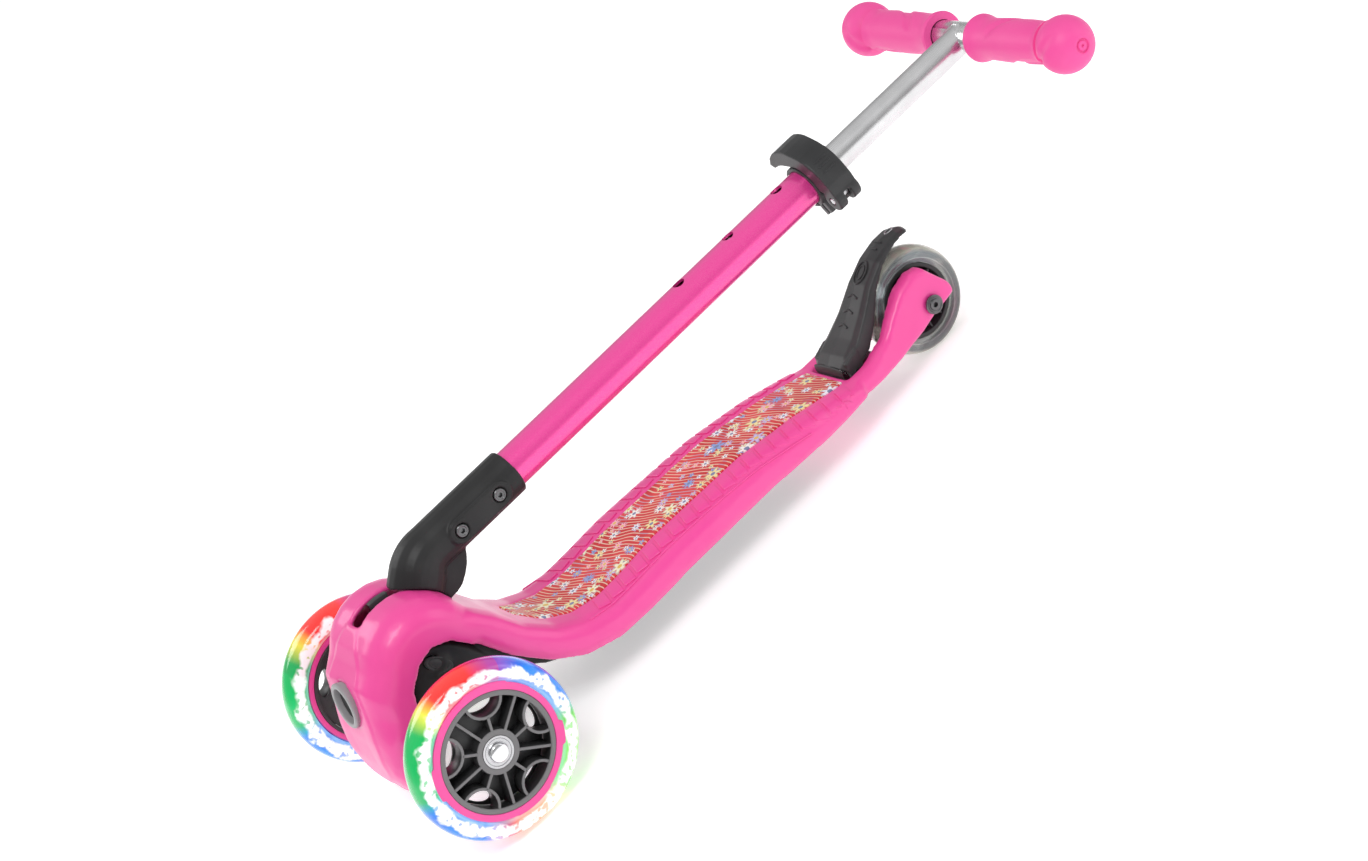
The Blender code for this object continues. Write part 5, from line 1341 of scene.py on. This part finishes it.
@dataclass
class Handlebar(Assembly):
    """The brushed upper tube with its welded crossbar, and the two moulded grips."""

    stem_radius: float = 10.75 * MM
    swoosh_depth: float = 1.4 * MM

    def build(self) -> None:
        """Makes every piece of the handlebar."""
        self.give(self.tubes(), "handlebar", "brushed_aluminium", "upper_tube")
        grip = self.grip()
        for side in Side:
            piece = grip if side is Side.left else mirror_y(grip, "swoosh_grip_right")
            self.give(piece, "handlebar", "pink_rubber", f"grip_{side.name}")
            self.plug(side)
        button = machined("height_button_turned", "height_button")
        self.give(button, "height_button", "steel", "height_button")

    def tubes(self) -> bpy.types.Object:
        """Stem and crossbar in one, with the weld bead between them."""
        bar = self.crossbar_centre()
        low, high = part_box("upper_tube")
        stem_start = (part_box("upper_tube")[1] - FOLD_AXIS).dot(TUBE_RUN)
        reach = (bar - FOLD_AXIS).dot(TUBE_RUN)
        stem = drum("upper_tubes", self.stem_radius, stem_start + 1 * MM, reach)
        settle(stem, TBar.lay())
        cross = drum("crossbar", self.stem_radius, low.y, high.y)
        combine(stem, settle(cross, placing(bar, (0, 1, 0))), "UNION")
        bevel(stem, 1.0 * MM, 3, 40)
        bpy.ops.object.select_all(action="DESELECT")
        bpy.ops.mesh.primitive_torus_add(major_radius=self.stem_radius + 0.1 * MM, minor_radius=1.3 * MM,
                                         major_segments=96, minor_segments=12)
        bead = named("weld_bead")
        points = np.zeros(len(bead.data.vertices) * 3)
        bead.data.vertices.foreach_get("co", points)
        points = points.reshape(-1, 3)
        drop = self.stem_radius - np.sqrt(np.maximum(self.stem_radius ** 2 - points[:, 0] ** 2, 0)) * 0.9
        ripple = 0.18 * MM * np.sin(np.arctan2(points[:, 1], points[:, 0]) * 34)
        points[:, 2] += drop - self.stem_radius + ripple
        bead.data.vertices.foreach_set("co", points.ravel())
        settle(bead, Matrix.Translation(TUBE_RUN * reach) @ TBar.lay())
        stem = joined("upper_tubes", [stem, bead])
        return smooth(stem)

    @staticmethod
    def crossbar_centre() -> Vector:
        """The middle of the crossbar."""
        plug = middle("grip_plug_left")
        return Vector((plug.x, 0, plug.z))

    def grip(self) -> bpy.types.Object:
        """The left grip: flange, waisted body with sunken swooshes, and a ball end."""
        low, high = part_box("grip_left")
        start, end = low.y, high.y
        ball = (high.z - low.z) / 2
        reach = 122.1 * MM
        outline = [(11.2 * MM, start), (16.6 * MM, start), (17.2 * MM, start + 1.6 * MM),
                   (16.8 * MM, start + 4.2 * MM), (15.3 * MM, start + 7.5 * MM), (14.8 * MM, start + 16 * MM)]
        body = [(start + 16 * MM) + (reach - 21 * MM - start - 16 * MM) * i / 24 for i in range(1, 25)]
        outline += [(14.8 * MM + 0.7 * MM * math.sin(math.pi * i / 24), y) for i, y in enumerate(body)]
        outline += [(15.2 * MM, reach - 18.5 * MM), (16.6 * MM, reach - 14.5 * MM)]
        for i in range(20):
            angle = math.radians(-43 + 118 * i / 19)
            outline.append((ball * math.cos(angle), reach + ball * math.sin(angle)))
        outline += [(8.6 * MM, reach + 18.3 * MM), (8.6 * MM, end - 12 * MM), (11.2 * MM, end - 12 * MM)]
        centre = self.crossbar_centre()
        grip = turned("swoosh_grip_left", outline, centre, (0, 1, 0), 96, 0)

        def swoosh(points: np.ndarray, normals: np.ndarray) -> np.ndarray:
            """Sunken bands that sweep round the body and hook over the ball."""
            y = points[:, 1]
            angle = np.arctan2(points[:, 2] - centre.z, points[:, 0] - centre.x)
            radius = np.hypot(points[:, 2] - centre.z, points[:, 0] - centre.x)
            along = (y - start) / (end - start)
            sink = np.zeros(len(y))
            for shift in (0.0, math.pi):
                path = 2.6 * np.sin((along - 0.10) * 3.4) + shift
                gap = np.abs((angle - path + math.pi) % TURN - math.pi)
                sweep = ease(gap, 0.34, 0.20) * ease(along, 0.16, 0.24) * ease(along, 0.80, 0.70)
                sink = np.maximum(sink, sweep)
                gap = np.abs((angle - shift - 1.9 - 0.9 * (along - 0.6) * 8 + math.pi) % TURN - math.pi)
                hook = ease(gap, 0.26, 0.14) * ease(along, 0.66, 0.72) * ease(along, 0.93, 0.88)
                sink = np.maximum(sink, hook)
            return -self.swoosh_depth * sink * (radius > 13 * MM)

        reshape(grip, swoosh)
        return grip

    def plug(self, side: Side) -> None:
        """The end plug with a small ring moulded round its middle."""
        node = f"grip_plug_{side.name}"
        low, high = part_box(node)
        radius = (high.z - low.z) / 2
        out = max(abs(low.y), abs(high.y))
        skirt = radius - 0.2 * MM
        outline = [(0, out - 8 * MM), (skirt, out - 8 * MM), (skirt, out - 1.6 * MM),
                   (radius - 1.2 * MM, out - 0.7 * MM), (5.4 * MM, out - 0.35 * MM),
                   (5.0 * MM, out - 1.5 * MM), (3.8 * MM, out - 1.5 * MM), (3.3 * MM, out - 0.2 * MM),
                   (1.1 * MM, out - 0.1 * MM), (0.8 * MM, out - 1.3 * MM), (0, out - 1.3 * MM)]
        axis = (0, side.value, 0)
        plug = turned(f"ringed_plug_{side.name}", outline, self.crossbar_centre(), axis, 64, 0.2 * MM)
        self.give(plug, "handlebar", "pink_rubber", node)


@dataclass
class Truck(Assembly):
    """The lean-steering carrier and the spacers on its axle; its springs keep their CAD shapes."""

    def build(self) -> None:
        """Gives the carrier soft edges and its metal pieces broken ones."""
        self.give(moulded("truck_moulding", "steering_truck", 1.2 * MM, 4), "truck", "black_plastic",
                  "steering_truck")
        for side in Side:
            node = f"front_spacer_{side.name}"
            self.give(machined(f"{node}_turned", node), "truck", "steel", node)


@dataclass
class Hidden(Assembly):
    """The CAD nodes that stay: springs, pins, sleeves and other pieces inside."""

    def build(self) -> None:
        """Dresses each shown CAD node in the finish of its record slot."""
        slots = {entry["node"]: entry["material_slot"] for entry in frame["record"]["subparts"]}
        for name, node in frame["nodes"].items():
            if not node.hide_render:
                node.data.materials.clear()
                node.data.materials.append(self.palette[slots[name]])
                LOG.info("%s keeps its CAD shape", name)


# ---------------------------------------------------------------- studio

@dataclass
class Studio:
    """White floor, soft lights and the camera."""

    eye: Point = (0.622094, 1.800079, 0.983463)
    right: Point = (-0.705826, 0.491523, -0.510112)
    upward: Point = (-0.647458, -0.155454, 0.746078)
    lens: float = 80.09
    floor_size: float = 40.0
    sky: tuple[tuple[float, float], ...] = ((0.0, 0.80), (0.22, 0.36), (0.85, 0.72))
    floor_glow: float = 0.42

    def build(self) -> None:
        """Makes the floor, lights, world and camera."""
        self.floor()
        self.light("key_light", (0.7, 1.3, 2.2), 1.0, 24)
        self.light("fill_light", (-1.8, 1.4, 0.9), 1.2, 6.5)
        self.light("rim_light", (0.9, -1.6, 1.3), 1.0, 9)
        self.air()
        bpy.context.scene.view_settings.view_transform = "Standard"
        self.camera()

    def air(self) -> None:
        """The room's light: pale low down, dimmer above that and bright overhead."""
        world = bpy.data.worlds.new("studio_air")
        bpy.context.scene.world = world
        world.use_nodes = True
        tree = world.node_tree
        place = tree.nodes.new("ShaderNodeTexCoord")
        split = tree.nodes.new("ShaderNodeSeparateXYZ")
        ramp = tree.nodes.new("ShaderNodeValToRGB")
        stops = ramp.color_ramp.elements
        stops.new(self.sky[1][0])
        for stop, (height, level) in zip(stops, self.sky):
            stop.position, stop.color = height, (level, level, level, 1)
        tree.links.new(place.outputs["Generated"], split.inputs[0])
        tree.links.new(split.outputs["Z"], ramp.inputs[0])
        tree.links.new(ramp.outputs[0], tree.nodes["Background"].inputs[0])

    def floor(self) -> None:
        """The pale floor."""
        bpy.ops.object.select_all(action="DESELECT")
        bpy.ops.mesh.primitive_plane_add(size=self.floor_size, location=(0, 0, -0.2 * MM))
        floor = settle(named("studio_floor"))
        nodes = Nodes("studio_paper")
        fibre = nodes.noise(nodes.place(), 3 * MM, 2)
        nodes.set(Base_Color=nodes.mix(fibre, (0.93, 0.93, 0.93), (0.97, 0.97, 0.97)), Roughness=0.6)
        nodes.set(Emission_Color=(1, 1, 1), Emission_Strength=self.floor_glow)
        floor.data.materials.append(nodes.material)

    def light(self, name: str, place: Point, size: float, power: float) -> None:
        """A square soft light that faces the scooter."""
        lamp = bpy.data.lights.new(name, "AREA")
        lamp.size, lamp.energy = size, power
        obj = bpy.data.objects.new(name, lamp)
        bpy.context.scene.collection.objects.link(obj)
        obj.location = place
        aim = Vector((0, 0, 0.08)) - Vector(place)
        obj.rotation_euler = aim.to_track_quat("-Z", "Y").to_euler()

    def camera(self) -> None:
        """The camera, rolled as a scooter leaning on its tail is seen."""
        camera = bpy.data.cameras.new("camera")
        camera.lens, camera.sensor_width = self.lens, 36
        camera.clip_start, camera.clip_end = 0.05, 100
        obj = bpy.data.objects.new("camera", camera)
        bpy.context.scene.collection.objects.link(obj)
        x, y = Vector(self.right), Vector(self.upward)
        turn = Matrix((x, y, x.cross(y))).transposed().to_4x4()
        obj.matrix_world = Matrix.Translation(Vector(self.eye)) @ turn
        bpy.context.scene.camera = obj


def main() -> None:
    """Builds every sub-assembly and the studio."""
    logging.basicConfig(level=logging.INFO, format="%(message)s")
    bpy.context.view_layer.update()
    palette = Palette()
    Deck(palette).build()
    SteeringLock(palette).build()
    Truck(palette).build()
    for side in Side:
        FrontWheel(palette, side=side).build()
    RearWheel(palette).build()
    Brake(palette).build()
    TBar(palette).build()
    Handlebar(palette).build()
    Hidden(palette).build()
    Studio().build()


if __name__ == "__main__":
    main()
